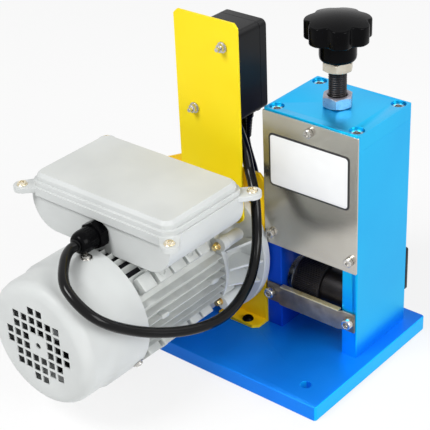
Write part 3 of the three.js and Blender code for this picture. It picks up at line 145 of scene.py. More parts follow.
def aimed(points, origin, normal, spin=0.0):
    # a shape drawn along its own z is turned so that z points along normal, then moved to origin
    z = np.array(normal, float)
    z /= np.linalg.norm(z)
    helper = np.array([0.0, 0.0, 1.0]) if abs(z[2]) < 0.9 else np.array([0.0, 1.0, 0.0])
    x = np.cross(helper, z)
    x /= np.linalg.norm(x)
    y = np.cross(z, x)
    x, y = x * math.cos(spin) + y * math.sin(spin), y * math.cos(spin) - x * math.sin(spin)
    return points @ np.stack([x, y, z]) + np.array(origin, float)


def roundAngles(columns):
    return np.arange(columns) * 2 * math.pi / columns


def polar(radius, angle, height):
    # points at a radius, an angle and a height, each a number or an array
    radius, angle, height = np.broadcast_arrays(radius, angle, height)
    return np.stack([radius * np.cos(angle), radius * np.sin(angle), height.astype(float)], -1)


def turnedRings(profile, columns=48):
    # surface of revolution: radius and height of each profile point, carried round the axis
    radius, height = np.array(profile, float).T
    return polar(radius[:, None], roundAngles(columns)[None, :], height[:, None])


def hexRings(acrossFlats, levels, columns=72):
    # radius is the hexagon's own at that angle, or the level's limit where the corners are turned off
    angle = roundAngles(columns)
    sector = np.mod(angle, math.pi / 3) - math.pi / 6
    hexagon = acrossFlats / 2 / np.cos(sector)
    height, limit = np.array(levels, float).T
    return polar(np.minimum(hexagon[None, :], limit[:, None]), angle[None, :], height[:, None])


def blockRings(width, depth, corner, levels, perCorner=6):
    # a rectangle with rounded corners, drawn in by each level's inset at that level's height
    angle = np.concatenate([np.linspace(k, k + 1, perCorner) * math.pi / 2 for k in range(4)])
    signs = np.repeat(np.array([[1, 1], [-1, 1], [-1, -1], [1, -1]]), perCorner, axis=0)
    middle = signs * (np.array([width, depth]) / 2 - corner)
    arcs = np.stack([np.cos(angle), np.sin(angle)], -1)
    rings = []
    for inset, height in levels:
        flat = middle + max(corner - inset, 0.02) * arcs
        rings.append(np.column_stack([flat, np.full(len(flat), float(height))]))
    return np.array(rings)


def softBlock(width, depth, height, corner, edge):
    part = edge * 0.3  # where a rounded edge passes at 45 degrees
    levels = [(edge, 0), (part, part), (0, edge), (0, height - edge), (part, height - part), (edge, height)]
    return blockRings(width, depth, corner, levels)


def smoothRoute(points, perSpan):
    # centripetal spline: the step between two points is the root of their distance, and the slope at a point
    # weighs the chords before and after it by those steps
    p = np.array(points, float)
    p = np.vstack([2 * p[0] - p[1], p, 2 * p[-1] - p[-2]])
    step = np.maximum(np.linalg.norm(np.diff(p, axis=0), axis=1) ** 0.5, 1e-4)
    share = np.linspace(0, 1, perSpan, endpoint=False)[:, None]
    route = []
    for i in range(1, len(p) - 2):
        d0, d1, d2 = step[i - 1], step[i], step[i + 1]
        chord = (p[i + 1] - p[i]) / d1
        first = ((p[i] - p[i - 1]) / d0 - (p[i + 1] - p[i - 1]) / (d0 + d1) + chord) * d1
        second = (chord - (p[i + 2] - p[i]) / (d1 + d2) + (p[i + 2] - p[i + 1]) / d2) * d1
        square = -3 * p[i] + 3 * p[i + 1] - 2 * first - second
        cube = 2 * p[i] - 2 * p[i + 1] + first + second
        route.append(p[i] + first * share + square * share ** 2 + cube * share ** 3)
    return np.vstack([*route, p[-2]])


def evenRoute(route, spacing):
    # the same line in equal steps, and its length
    length = np.concatenate([[0], np.cumsum(np.linalg.norm(np.diff(route, axis=0), axis=1))])
    at = np.linspace(0, length[-1], max(int(length[-1] / spacing), 4) + 1)
    return np.stack([np.interp(at, length, route[:, k]) for k in range(3)], -1), length[-1]


def tubeRings(route, radius, columns=14):
    # rings stand square to the route; each ring's first direction is the last one's, made square again
    along = np.gradient(route, axis=0)
    along /= np.linalg.norm(along, axis=1)[:, None]
    side = np.cross(along[0], [0.3, 0.5, 0.8])
    sides = []
    for tangent in along:
        side = side - tangent * (side @ tangent)
        side /= np.linalg.norm(side)
        sides.append(side)
    first = np.array(sides)[:, None, :]
    second = np.cross(along, sides)[:, None, :]
    angle = roundAngles(columns)[None, :, None]
    reach = np.broadcast_to(np.asarray(radius, float), (len(route),))[:, None, None]
    return route[:, None, :] + reach * (np.cos(angle) * first + np.sin(angle) * second)


# Materials
def linear(hexColour):
    # sRGB to linear light: values under 0.04045 are divided by 12.92, the others follow the 2.4 power
    parts = [int(hexColour[k:k + 2], 16) / 255 for k in (1, 3, 5)]
    return tuple(v / 12.92 if v <= 0.04045 else ((v + 0.055) / 1.055) ** 2.4 for v in parts) + (1.0,)


def addNode(tree, kind, links=None, **settings):
    made = tree.nodes.new(kind)
    for name, value in settings.items():
        setattr(made, name, value)
    for socket, source in (links or {}).items():
        if isinstance(source, bpy.types.NodeSocket):
            tree.links.new(source, made.inputs[socket])
        else:
            made.inputs[socket].default_value = source
    return made


def emptyTree(owner):
    owner.use_nodes = True
    owner.node_tree.nodes.clear()
    return owner.node_tree


def finish(name, colours, patches, grain, rough, relief, metal=0.0, stretch=(1, 1, 1), paintedLitSide=None,
           **shader):
    # two close colours in soft patches, and one fine grain in roughness and height; sizes are in millimetres
    material = bpy.data.materials.new(name)
    tree = emptyTree(material)
    where = addNode(tree, "ShaderNodeTexCoord").outputs["Object"]
    broad = addNode(tree, "ShaderNodeTexNoise", {
        "Vector": where, "Scale": 1000 / patches, "Detail": 2.0, "Roughness": 0.5})
    tint = addNode(tree, "ShaderNodeValToRGB", {"Fac": broad.outputs["Fac"]})
    for element, position, colour in zip(tint.color_ramp.elements, (0.3, 0.7), colours):
        element.position, element.color = position, linear(colour)
    colour = tint.outputs["Color"]
    if paintedLitSide:
        # painted light: faces that look along +x take the paler colour given, as if lit more
        normal = addNode(tree, "ShaderNodeNewGeometry").outputs["Normal"]
        facing = addNode(tree, "ShaderNodeSeparateXYZ", {"Vector": normal})
        right = addNode(tree, "ShaderNodeMath", {0: facing.outputs["X"], 1: 0.5}, operation="GREATER_THAN")
        colour = addNode(tree, "ShaderNodeMix", {0: right.outputs[0], 6: colour, 7: linear(paintedLitSide)},
                         data_type="RGBA").outputs[2]
    pulled = addNode(tree, "ShaderNodeMapping", {"Vector": where, "Scale": stretch})
    fine = addNode(tree, "ShaderNodeTexNoise", {
        "Vector": pulled.outputs["Vector"], "Scale": 1000 / grain, "Detail": 3.0, "Roughness": 0.6})
    gloss = addNode(tree, "ShaderNodeMapRange", {
        "Value": fine.outputs["Fac"], "From Min": 0.3, "From Max": 0.7,
        "To Min": rough[0], "To Max": rough[1]})
    height = addNode(tree, "ShaderNodeBump", {
        "Height": fine.outputs["Fac"], "Strength": 0.5, "Distance": relief * mm})
    base = addNode(tree, "ShaderNodeBsdfPrincipled", {
        "Base Color": colour, "Roughness": gloss.outputs["Result"], "Metallic": metal,
        "Normal": height.outputs["Normal"],
        **{key.replace("_", " "): value for key, value in shader.items()}})
    addNode(tree, "ShaderNodeOutputMaterial", {"Surface": base.outputs["BSDF"]})
    return material


# anodised aluminium plate, bead-blasted then dyed: even colour, satin sheen with a faint grain; its pale cyan
# is the lit copy of the plates' one blue, painted light
blueAnodised = finish("anodisedAluminiumBlue", ("#0CB4F2", "#12BEF6"), patches=90, grain=1.3,
                      rough=(0.3, 0.38), metal=0.92, relief=0.02)
# the base plate: the photograph's light leaves its faces deeper and its right side paler, and both are in the
# colour here
paintedShadeAndLightAnodised = finish("anodisedAluminiumDeepBlue", ("#0878EA", "#0C82F0"), patches=90, grain=1.3,
                      rough=(0.36, 0.46), metal=0.3, relief=0.02, paintedLitSide="#10B4F6",
                      Specular_IOR_Level=0.12)
# the tower plate beside the motor, in the deep blue that shade gives it in the photograph: nearly matte
shadeAnodised = finish("anodisedAluminiumNavy", ("#0344BE", "#054CC8"), patches=90, grain=1.3,
                       rough=(0.4, 0.5), metal=0.2, relief=0.02, Specular_IOR_Level=0.12)
# powder-coated sheet steel: even colour, with a slight orange peel of 2 to 3 mm
yellowPaint = finish("powderCoatedSteelYellow", ("#FFE014", "#FFE61E"), patches=60, grain=2.6,
                     rough=(0.3, 0.36), relief=0.008, Specular_IOR_Level=0.18)
# the bracket's coat: the same powder, in the warmer tone that shade gives it in the photograph
paintedShadeYellow = finish("powderCoatedSteelAmber", ("#FFCC0E", "#FFD416"), patches=60, grain=2.6,
                    rough=(0.3, 0.36), relief=0.008, Specular_IOR_Level=0.18)
# die-cast aluminium sprayed with silver-grey enamel: soft orange peel, slightly uneven film
motorEnamel = finish("sprayedCastAluminium", ("#CBCECD", "#D4D7D6"), patches=45, grain=2.6,
                     rough=(0.36, 0.46), relief=0.04, Specular_IOR_Level=0.28)
# the same enamel on sand-cast ribs and fins: coarser skin that scatters light more
castEnamel = finish("sprayedSandCasting", ("#BEC1BF", "#CCCFCC"), patches=14, grain=1.6,
                    rough=(0.4, 0.55), metal=0.15, relief=0.12)
# casting between the top fins: painted shade, nearly black as the deep gaps look
paintedShadeCasting = finish("unpaintedCastValley", ("#141416", "#202022"), patches=8, grain=1.8,
                     rough=(0.6, 0.75), relief=0.05, Specular_IOR_Level=0.1)
# stainless sheet: a soft mirror, drawn out by the rolled grain that runs across
brushedStainless = finish("brushedStainlessSheet", ("#BDB9B0", "#CBC7BE"), patches=50, grain=1.2,
                          stretch=(0.05, 1, 1), rough=(0.22, 0.27), metal=1.0, relief=0.006)
# cold-rolled strip with a chromate film: dull grey-brown face, darkened by painted reflection of the dark
# parts round it, drawn out along the strip
zincPlate = finish("chromatedStripSteel", ("#6E6860", "#8E867A"), patches=12, grain=1.3,
                   stretch=(0.15, 1, 1), rough=(0.3, 0.4), metal=0.55, relief=0.01,
                   Specular_IOR_Level=0.2)
# the same strip's top lip, a warm straw gold, painted paler than the face as light on the top edge
zincLip = finish("yellowChromateLip", ("#CDBB84", "#E4DAB4"), patches=10, grain=1.3, stretch=(0.15, 1, 1),
                 rough=(0.26, 0.34), metal=0.6, relief=0.01)
# bright nickel plate on turned screws and bearing rings
brightSteel = finish("nickelPlatedSteel", ("#B8B6B2", "#CECCC8"), patches=9, grain=1.2, rough=(0.2, 0.3),
                     metal=0.95, relief=0.015)
# satin nickel of the nut under the knob, a warm near-white
paleNickel = finish("satinNickelNut", ("#B9AF9E", "#D0C8B8"), patches=9, grain=1.2, rough=(0.32, 0.4),
                    metal=0.6, relief=0.01)
# the large lock nut: bright zinc, cooler and darker than the nickel
zincNut = finish("brightZincNut", ("#83818F", "#ABA9B2"), patches=9, grain=1.2, rough=(0.26, 0.34),
                 metal=0.55, relief=0.01)
# clear-passivated small screws: silver with a breath of gold
paleScrew = finish("clearPassivatedScrew", ("#D8CCB0", "#EDE6D4"), patches=4, grain=1.2,
                   rough=(0.22, 0.3), metal=0.85, relief=0.01)
# gold-passivated bolts of the flange and the motor: warm yellow, bright on their flats
goldSteel = finish("yellowPassivatedScrew", ("#C9A866", "#E0CFA0"), patches=5, grain=1.2,
                   rough=(0.2, 0.3), metal=0.9, relief=0.015)
# oil-blackened steel of feed wheel, adjusting screw, axle and inlet plate: near-black with a dull sheen
blackenedSteel = finish("blackenedSteel", ("#161416", "#221F20"), patches=12, grain=1.3,
                        rough=(0.34, 0.46), metal=0.4, relief=0.02, Specular_IOR_Level=0.3)
# turned and ground steel inside the tower and the motor: grey, with fine lines and a bright sheen
groundSteel = finish("groundSteel", ("#8C8F92", "#A6A9AB"), patches=20, grain=1.2, stretch=(1, 1, 0.2),
                     rough=(0.25, 0.36), metal=0.9, relief=0.02)
# moulded phenolic and ABS: near-black with a soft sheen and the mould's fine grain
blackMoulding = finish("mouldedBlackPlastic", ("#0E0E10", "#151517"), patches=25, grain=1.5,
                       rough=(0.3, 0.4), relief=0.02, Specular_IOR_Level=0.15)
# the same from a polished die: deep black with small bright glints
knobGloss = finish("polishedPhenolicBlack", ("#050506", "#08080A"), patches=20, grain=2.4,
                   rough=(0.16, 0.22), relief=0.006, Specular_IOR_Level=0.05)
# PVC and rubber jackets of the leads: smooth extruded skin
leadJacket = finish("extrudedPvcJacket", ("#050506", "#080809"), patches=18, grain=2.0,
                    rough=(0.12, 0.17), relief=0.004, Specular_IOR_Level=0.2)
# sand-cast bronze, cut on its teeth: brown gold with a dull skin
bronzeWheel = finish("castBronze", ("#9A7436", "#B98E4C"), patches=10, grain=1.2, rough=(0.28, 0.42),
                     metal=0.9, relief=0.03)
# injection-moulded button caps: clean colour with a gloss
greenMoulding = finish("mouldedGreenButton", ("#178A41", "#1E9A4C"), patches=10, grain=1.5,
                       rough=(0.2, 0.3), relief=0.01)
redMoulding = finish("mouldedRedButton", ("#C01F26", "#CE2A30"), patches=10, grain=1.5, rough=(0.2, 0.3),
                     relief=0.01)
# stacked core sheets: dull grey with fine lines along the stack
coreSteel = finish("laminatedCoreSteel", ("#64696E", "#7C8186"), patches=8, grain=1.0,
                   stretch=(0.05, 1, 0.05), rough=(0.4, 0.5), metal=0.7, relief=0.1)
# blank vinyl plate on the guard: white field, near-black border
whiteVinyl = finish("whiteVinylPlate", ("#EDEEEE", "#F4F5F5"), patches=30, grain=2.0, rough=(0.3, 0.38),
                    relief=0.01)
blackVinyl = finish("blackVinylBorder", ("#17171A", "#1E1E21"), patches=30, grain=2.0, rough=(0.3, 0.38),
                    relief=0.01)
print("materials made:", len(bpy.data.materials))

# Leads: their routes are given points, counted from the gland, the panel's edge and the bracket
leadSizes = {"motorRadius": 4.5, "mainsRadius": 3.5, "spacing": 2.0, "perSpan": 12, "endTaper": 0.9}
gland = np.array([-51.4, -149.5, 157.5])
glandLength = 26.7
glandMouth = gland[1] - glandLength
panelEdge, bracketFace, bracketTop = -2.0, -9.1, 169.5
switchFloor = 212.7
leadIn = np.array([-20.6, -4.0])
motorRoute = [
    (-51.4, gland[1] + 4, gland[2]), (-51.4, glandMouth, gland[2]), (-50.4, glandMouth - 9, gland[2]),
    (-41.4, glandMouth - 24, gland[2] - 1), (-21.4, glandMouth - 43, gland[2] - 8),
    (5.6, glandMouth - 42, gland[2] - 25), (22.6, glandMouth - 11, gland[2] - 49),
    (40.6, glandMouth + 34, gland[2] - 65), (47.6, glandMouth + 70, gland[2] - 67),
    (41.6, glandMouth + 108, gland[2] - 58), (panelEdge + 33, bracketFace - 34, bracketTop - 50),
    (panelEdge + 24, bracketFace - 22, bracketTop - 19), (panelEdge + 16, bracketFace - 14.5, bracketTop - 6),
    (panelEdge + 5, bracketFace - 6, bracketTop + 5), (panelEdge - 2.5, bracketFace - 1.5, bracketTop + 19.5),
    (leadIn[0] + 5.5, leadIn[1] - 1, switchFloor - 10), (leadIn[0] + 0.4, leadIn[1], switchFloor - 1),
    (leadIn[0], leadIn[1], switchFloor + 7),
]
mainsIn = np.array([-21.0, 11.0])
coilSizes = {
    "x": -12.0, "y": 144.5, "radius": 38.0, "waver": 2, "turns": 4.75, "rise": 7.9, "perTurn": 20,
    "plugGap": 46.0, "plugHeight": 8.0,
}
coilTop = leadSizes["mainsRadius"] + coilSizes["turns"] * coilSizes["rise"]


def coilPoints(sizes):
    # each turn goes once round and one rise down; its radius wavers by 2 mm, as a coil wound by hand does
    turn = np.arange(int(round(sizes["turns"] * sizes["perTurn"])) + 1) / sizes["perTurn"]
    angle = math.pi - 2 * math.pi * turn
    ends = np.minimum(turn, 1) * np.minimum(sizes["turns"] - turn, 1)
    radius = sizes["radius"] + sizes["waver"] * np.sin(1.3 * turn * math.pi) * ends
    return polar(radius, angle, coilTop - sizes["rise"] * turn) + np.array([sizes["x"], sizes["y"], 0])


coil = coilPoints(coilSizes)
endX, endY, endZ = coil[-1]
coilLeft = coilSizes["x"] - coilSizes["radius"]
mainsDrop = [
    (0, 0, 1), (0, 0, 8), (0, 0, 16), (0, 0, 23), (1.4, 0, 32), (4.1, 0.2, 41.5), (5.9, 2.2, 53),
    (4.4, 6.7, 64.5), (-0.5, 14, 75), (-8.5, 24, 87), (-17, 34.5, 99), (-25, 45.5, 113), (-29.5, 59.5, 128),
    (-30.5, 75.5, 143), (-29.4, 91.5, 158),
]
mainsRoute = [
    *[(mainsIn[0] + across, mainsIn[1] + back, switchFloor - down) for across, back, down in mainsDrop],
    (coilLeft, coilSizes["y"] - 27.5, coilTop + 4.4), (coilLeft, coilSizes["y"] - 8, coilTop + 0.6), *coil,
    (endX - 12, endY, endZ + 0.2), (endX - coilSizes["plugGap"] + 10, endY, coilSizes["plugHeight"]),
    (endX - coilSizes["plugGap"], endY, coilSizes["plugHeight"]),
]


def makeLead(name, route, radius, replaced):
    # a tube along the spline through the route's points, a little narrower at its two ends
    line, length = evenRoute(smoothRoute(route, leadSizes["perSpan"]), leadSizes["spacing"])
    taper = np.full(len(line), float(radius))
    taper[[0, -1]] = radius * leadSizes["endTaper"]
    piece = closed(name, [tubeRings(line, taper)], "frame", leadJacket, "black_rubber", sharpAngle=80)
    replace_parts(piece, *replaced)
    return piece, line, length


motorLead, motorLine, motorLength = makeLead(
    "motorLeadTube", motorRoute, leadSizes["motorRadius"], ["motor_lead"])
mainsCord, mainsLine, mainsLength = makeLead(
    "mainsCordTube", mainsRoute, leadSizes["mainsRadius"], ["mains_lead", "mains_coil"])
print("leads:", round(motorLength), "mm and", round(mainsLength), "mm")

reliefSizes = {
    "length": 23.0, "neck": 3.2, "ribs": 7, "groove": 0.55, "bore": 4.0, "mouth": 4.8, "root": 6.7,
    "flange": [(7.5, -3), (7.5, -0.3), (5.0, -0.3)],
}


def makeRelief(sizes):
    # radius grows in a straight line from mouth to root, less a groove each rib apart
    height = np.linspace(-sizes["length"], -sizes["neck"], 8 * sizes["ribs"])
    share = (height + sizes["length"]) / (sizes["length"] - sizes["neck"])
    grooved = np.cos(2 * math.pi * share * sizes["ribs"]) > 0.2
    radius = sizes["mouth"] + (sizes["root"] - sizes["mouth"]) * share - sizes["groove"] * grooved
    profile = [(sizes["bore"], -sizes["length"]), *zip(radius, height), *sizes["flange"]]
    rings = turnedRings(profile, 40) + np.array([*mainsIn, switchFloor])
    relief = closed("strainRelief", [rings], "frame", leadJacket, "black_rubber")
    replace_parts(relief, "mains_relief")


makeRelief(reliefSizes)

tieSizes = {
    "angle": -0.35, "window": 0.1, "halfWidth": 4.0, "thick": 1.1, "slack": 0.6, "corners": (3.5, 4.4),
}


def makeTie(sizes):
    # a band round the coil's turns at one angle: the box of their section, its corners rounded
    direction = np.array([math.cos(sizes["angle"]), math.sin(sizes["angle"]), 0])
    across = np.array([-direction[1], direction[0], 0])
    up = np.array([0, 0, 1.0])
    centre = np.array([coilSizes["x"], coilSizes["y"], 0])
    offset = mainsLine - centre
    bearing = np.arctan2(offset[:, 1], offset[:, 0]) - sizes["angle"]
    near = np.abs(np.mod(bearing + math.pi, 2 * math.pi) - math.pi) < sizes["window"]
    reach, height = np.linalg.norm(offset[near][:, :2], axis=1), mainsLine[near][:, 2]
    lead = leadSizes["mainsRadius"]
    wide, tall = (np.ptp(extent) + 2 * lead + sizes["slack"] for extent in (reach, height))
    lift = max((height.min() + height.max()) / 2, tall / 2 + sizes["thick"])
    middle = centre + direction * (reach.min() + reach.max()) / 2 + up * lift
    ends = [(0, -sizes["halfWidth"]), (0, sizes["halfWidth"])]
    inside = blockRings(wide, tall, sizes["corners"][0], ends, 8)
    outside = blockRings(wide + 2 * sizes["thick"], tall + 2 * sizes["thick"], sizes["corners"][1], ends, 8)
    band = np.stack([inside[0], outside[0], outside[1], inside[1]])
    band = middle + band[..., :1] * direction + band[..., 1:2] * up + band[..., 2:] * across
    closed("coilTie", [], "frame", leadJacket, "black_rubber", bored=[band])


makeTie(tieSizes)

# Star knob: hub and side are radius (or inset) and height, crown and dome the height and fall of its top
knobSizes = {
    "axis": (63.0, 32.0), "bottom": 277.2, "radius": 28.6, "lobes": 7, "depth": 4.4, "skirt": 18.4,
    "crown": 38.9, "dome": 4.6, "edge": 1.5,
    "hub": [(13.4, 0), (14.8, 0.4), (15.6, 1.6), (16.0, 4), (16.0, 14), (16.4, 16.4), (17.6, 17.8),
            (20.0, 18.3)],
    "side": [(1.6, 0), (0.5, 0.3), (0, 1.2), (0, 8)],
    "topShares": (0.9, 0.75, 0.58, 0.4, 0.24, 0.12, 0.03),
}


def makeKnob(sizes):
    # seven rounded lobes over a waisted hub; the lobed side stands straight, and the top is one shallow dome,
    # lower by the square of the distance from the axis
    angle = roundAngles(168)
    lobe = (1 + np.cos(sizes["lobes"] * angle)) / 2
    outline = sizes["radius"] - sizes["depth"] * (1 - lobe) ** 2
    edge = sizes["edge"]
    rim = outline - edge

    def domeAt(reach):
        return sizes["crown"] - sizes["dome"] * (reach / sizes["radius"]) ** 2

    rings = [polar(radius, angle, height) for radius, height in sizes["hub"]]
    rings += [polar(outline - inset, angle, sizes["skirt"] + rise) for inset, rise in sizes["side"]]
    for turn in np.linspace(0, math.pi / 2, 5):
        rings.append(polar(rim + edge * math.cos(turn), angle, domeAt(rim) - edge * (1 - math.sin(turn))))
    rings += [polar(rim * share, angle, domeAt(rim * share)) for share in sizes["topShares"]]
    rings = np.array(rings) + np.array([*sizes["axis"], sizes["bottom"]])
    knob = closed("starKnobMoulding", [rings], "adjuster", knobGloss, "black_plastic", sharpAngle=50)
    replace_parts(knob, "star_knob")


makeKnob(knobSizes)

# Adjusting screw with its thread cut: crest at a radius of 7.95 mm, valley 0.9 mm deeper, 2 mm pitch
screwSizes = {
    "radius": 7.95, "depth": 0.9, "pitch": 2.0, "from": 166.0, "to": 296.0, "step": 0.25, "columns": 40,
    "endLength": 1.5, "endTaper": 0.12,
    "foot": [(8.6, 153.3), (8.6, 157.7), (5.5, 157.7), (5.5, 163.3), (7.4, 164.5)],
}


def makeThread(sizes):
    # the radius falls to the valley and climbs back once per pitch, and the whole wave climbs with the angle
    angle = roundAngles(sizes["columns"])[None, :]
    height = np.arange(sizes["from"], sizes["to"], sizes["step"])[:, None]
    wave = np.mod(height / sizes["pitch"] - angle / (2 * math.pi), 1.0)
    cutIn = sizes["depth"] * (1 - np.abs(2 * wave - 1)) ** 0.8
    ends = np.clip(np.minimum(height - sizes["from"], sizes["to"] - height) / sizes["endLength"], 0, 1)
    reach = (sizes["radius"] - cutIn) * (1 - sizes["endTaper"] * (1 - ends))
    rings = np.concatenate([turnedRings(sizes["foot"], sizes["columns"]), polar(reach, angle, height)])
    rings += np.array([*knobSizes["axis"], 0])
    screw = closed("adjustingScrewThread", [rings], "adjuster", blackenedSteel, "dark_steel", sharpAngle=70)
    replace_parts(screw, "adjusting_screw")


makeThread(screwSizes)

nutSizes = {
    "flats": 24.0, "columns": 144, "coneHeight": 1.3, "cone": (11.6, 13.9), "bore": 8.35, "mouth": 9.2,
    "leadIn": 0.9,
}


def makeNut(name, bottom, height, replaced, body, material, sizes):
    # a hexagon whose corners are turned off in a cone at both faces, round a bore with its own lead-in
    cone = list(zip(np.linspace(0, sizes["coneHeight"], 7), np.linspace(*sizes["cone"], 7)))
    levels = cone + [(height - rise, limit) for rise, limit in cone[::-1]]
    bore, mouth, leadIn = sizes["bore"], sizes["mouth"], sizes["leadIn"]
    inside = [(mouth, height), (bore, height - leadIn), (bore, leadIn), (mouth, 0)]
    rings = np.concatenate([hexRings(sizes["flats"], levels, sizes["columns"]),
                            turnedRings(inside, sizes["columns"])])
    rings += np.array([*knobSizes["axis"], bottom])
    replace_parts(closed(name, [], body, material, "steel", 24, bored=[rings]), replaced)


makeNut("lockNutTurned", 235.3, 10.0, "lock_nut", "frame", zincNut, nutSizes)
makeNut("knobNutTurned", 267.9, 9.0, "knob_nut", "adjuster", paleNickel, nutSizes)
print("knob, screw and nuts made")

# Cable gland: hexagon body, ribbed dome nut, rubber lip at its mouth
glandSizes = {
    "flats": 22.6, "hexHeight": 9.0, "chamfer": 0.9, "corners": (12.2, 13.4, 13.4, 12.0), "dome": 10.2,
    "ribs": 24, "ribDepth": 0.12, "straightTo": 18.5, "mouth": 6.6, "columns": 120,
    "lip": [(4.3, -0.5), (6.0, -0.5), (6.0, 1.2), (5.2, 1.8), (4.3, 1.8)],
}


def makeGland(sizes):
    # the dome nut is a cylinder with shallow ribs round it, closed by a quarter circle down to the mouth
    angle = roundAngles(sizes["columns"])[None, :]
    levels = (0, sizes["chamfer"], sizes["hexHeight"] - sizes["chamfer"], sizes["hexHeight"])
    body = hexRings(sizes["flats"], list(zip(levels, sizes["corners"])), sizes["columns"])
    turn = np.linspace(0, math.pi / 2, 10)
    straight = np.linspace(sizes["hexHeight"], sizes["straightTo"], 10)
    curved = sizes["straightTo"] + (glandLength - sizes["straightTo"]) * np.sin(turn)
    height = np.concatenate([straight, curved])[:, None]
    narrowing = sizes["mouth"] + (sizes["dome"] - sizes["mouth"]) * np.cos(turn)
    radius = np.concatenate([np.full(10, sizes["dome"]), narrowing])[:, None]
    ribbed = (np.cos(sizes["ribs"] * angle) > 0) * (height < sizes["straightTo"] + 0.1)
    nut = polar(radius - sizes["ribDepth"] * ribbed, angle, height)
    rings = aimed(np.concatenate([body, nut]), gland, (0, -1, 0), math.pi / 6)
    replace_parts(closed("cableGlandNylon", [rings], "frame", knobGloss, "black_plastic", 30), "cable_gland")
    lip = turnedRings([(radius, glandLength + rise) for radius, rise in sizes["lip"]], 40)
    closed("glandSealLip", [aimed(lip, gland, (0, -1, 0))], "frame", leadJacket, "black_rubber")


makeGland(glandSizes)


# Screws: cross heads are in the visual model alone, some socket heads replace a node
def crossHeadRings(radius, height, slot):
    # a low dome, less a cross of two straight slots that fade out at two thirds of the radius
    angle = roundAngles(64)[None, :]
    share = np.array([1.0, 0.95, 0.86, 0.76, 0.66, 0.58, 0.5, 0.42, 0.34, 0.26, 0.18, 0.1, 0.03])[:, None]
    dome = height * (1 - 0.45 * share ** 2 - 0.25 * (share > 0.99))
    offSlot = share * radius * np.minimum(np.abs(np.cos(angle)), np.abs(np.sin(angle)))
    fade = np.clip((0.68 - share) / 0.12, 0, 1)
    top = polar(share * radius, angle, dome - 0.62 * height * (offSlot < slot) * fade)
    return np.concatenate([turnedRings([(radius * 0.98, -0.4), (radius, 0.0)], 64), top])


crossScrews = {
    "lid": {"radius": 3.9, "height": 2.5, "slot": 0.62, "washer": 4.8, "finish": (paleScrew, "zinc_plate")},
    "cowl": {"radius": 3.6, "height": 2.4, "slot": 0.55, "washer": 5.2, "finish": (brightSteel, "steel")},
    "cover": {"radius": 2.4, "height": 1.3, "slot": 0.4, "washer": 0, "finish": (brightSteel, "steel")},
}


def crossScrew(name, kind, origin, normal, spin):
    # a cross head, on a round washer 0.7 mm thick where its kind has one
    sizes = crossScrews[kind]
    washer, thick = sizes["washer"], 0.7 if sizes["washer"] else 0.0
    parts = []
    if washer:
        profile = [(washer - 0.2, 0.02), (washer, 0.2), (washer, 0.5), (washer - 0.2, thick)]
        parts.append(aimed(turnedRings(profile, 40), origin, normal))
    head = crossHeadRings(sizes["radius"], sizes["height"], sizes["slot"]) + np.array([0, 0, thick])
    parts.append(aimed(head, origin, normal, spin))
    closed(name, parts, "frame", *sizes["finish"], 34)


def socketScrew(name, origin, normal, radius, height, material, slotName, spacer=0.0):
    # a cylinder head with a turned edge and a hexagon socket sunk from its top, on a plain spacer where it
    # stands off
    parts = []
    if spacer:
        narrow, wide = radius * 0.82, radius * 0.86
        collar = [(narrow, 0.02), (wide, 0.25), (wide, spacer - 0.2), (narrow, spacer)]
        parts.append(aimed(turnedRings(collar), origin, normal))
    flats = radius * 1.06
    outside = [(radius - 0.2, 0.02), (radius, 0.3), (radius, height - 0.9), (radius - 0.3, height - 0.25),
               (radius - 0.9, height), (flats * 0.66, height)]
    socket = [(height - 0.2, flats * 0.62), (height - 0.6, radius), (height * 0.26, radius),
              (height * 0.2, flats * 0.1)]
    head = np.concatenate([turnedRings(outside), hexRings(flats, socket, 48)]) + np.array([0, 0, spacer])
    parts.append(aimed(head, origin, normal, spin=0.2))
    return closed(name, parts, "frame", material, slotName, 30)


cornerSigns = [(1, -1), (1, 1), (-1, 1), (-1, -1)]
motorAxis = {"x": -51.4, "z": 87.0, "back": -9.4}
lid = {"y": -101.7, "earTop": 178.3, "screwX": 84.4, "screwY": 52.8}
webSizes = {"side": 74.0, "length": 22.0, "reach": 5.6, "inset": 5.8, "thick": 5.0, "edge": 0.8}
cowlScrews = {"radius": 59.35, "spots": [(84, 163), (-36, 154.5), (200, 154.5)]}
cover = {"x": -34.9, "z": 254.2, "face": 31.8, "screwX": 17.5, "screwZ": 36.0}
inletScrews = {"x": (21, 105), "y": 74.3, "z": 82, "radius": 4.2, "height": 4.4}
footScrewSizes = {
    "radius": 5.3, "height": 3.7, "crown": (0.08, 1.15), "steps": 7, "flats": 3.4, "socket": 2.0,
}


def makeLidWeb(name, sx, sy, sizes):
    # a three-sided web in the corner between an ear and the lid's side, as thick as the ear
    near = lid["screwY"] - sizes["inset"]
    corners = [(sizes["side"], near - sizes["length"]), (lid["screwX"] + sizes["reach"], near),
               (sizes["side"], near)]
    flat = np.array([(motorAxis["x"] + sx * x, lid["y"] + sy * y) for x, y in corners])
    rings = [np.column_stack([flat, np.full(3, lid["earTop"] - depth)]) for depth in (sizes["thick"], 0.05)]
    web = closed(name, [np.array(rings)], "frame", motorEnamel, "grey_casting")
    bevel = web.modifiers.new("softEdges", "BEVEL")
    bevel.width, bevel.segments = sizes["edge"] * mm, 2


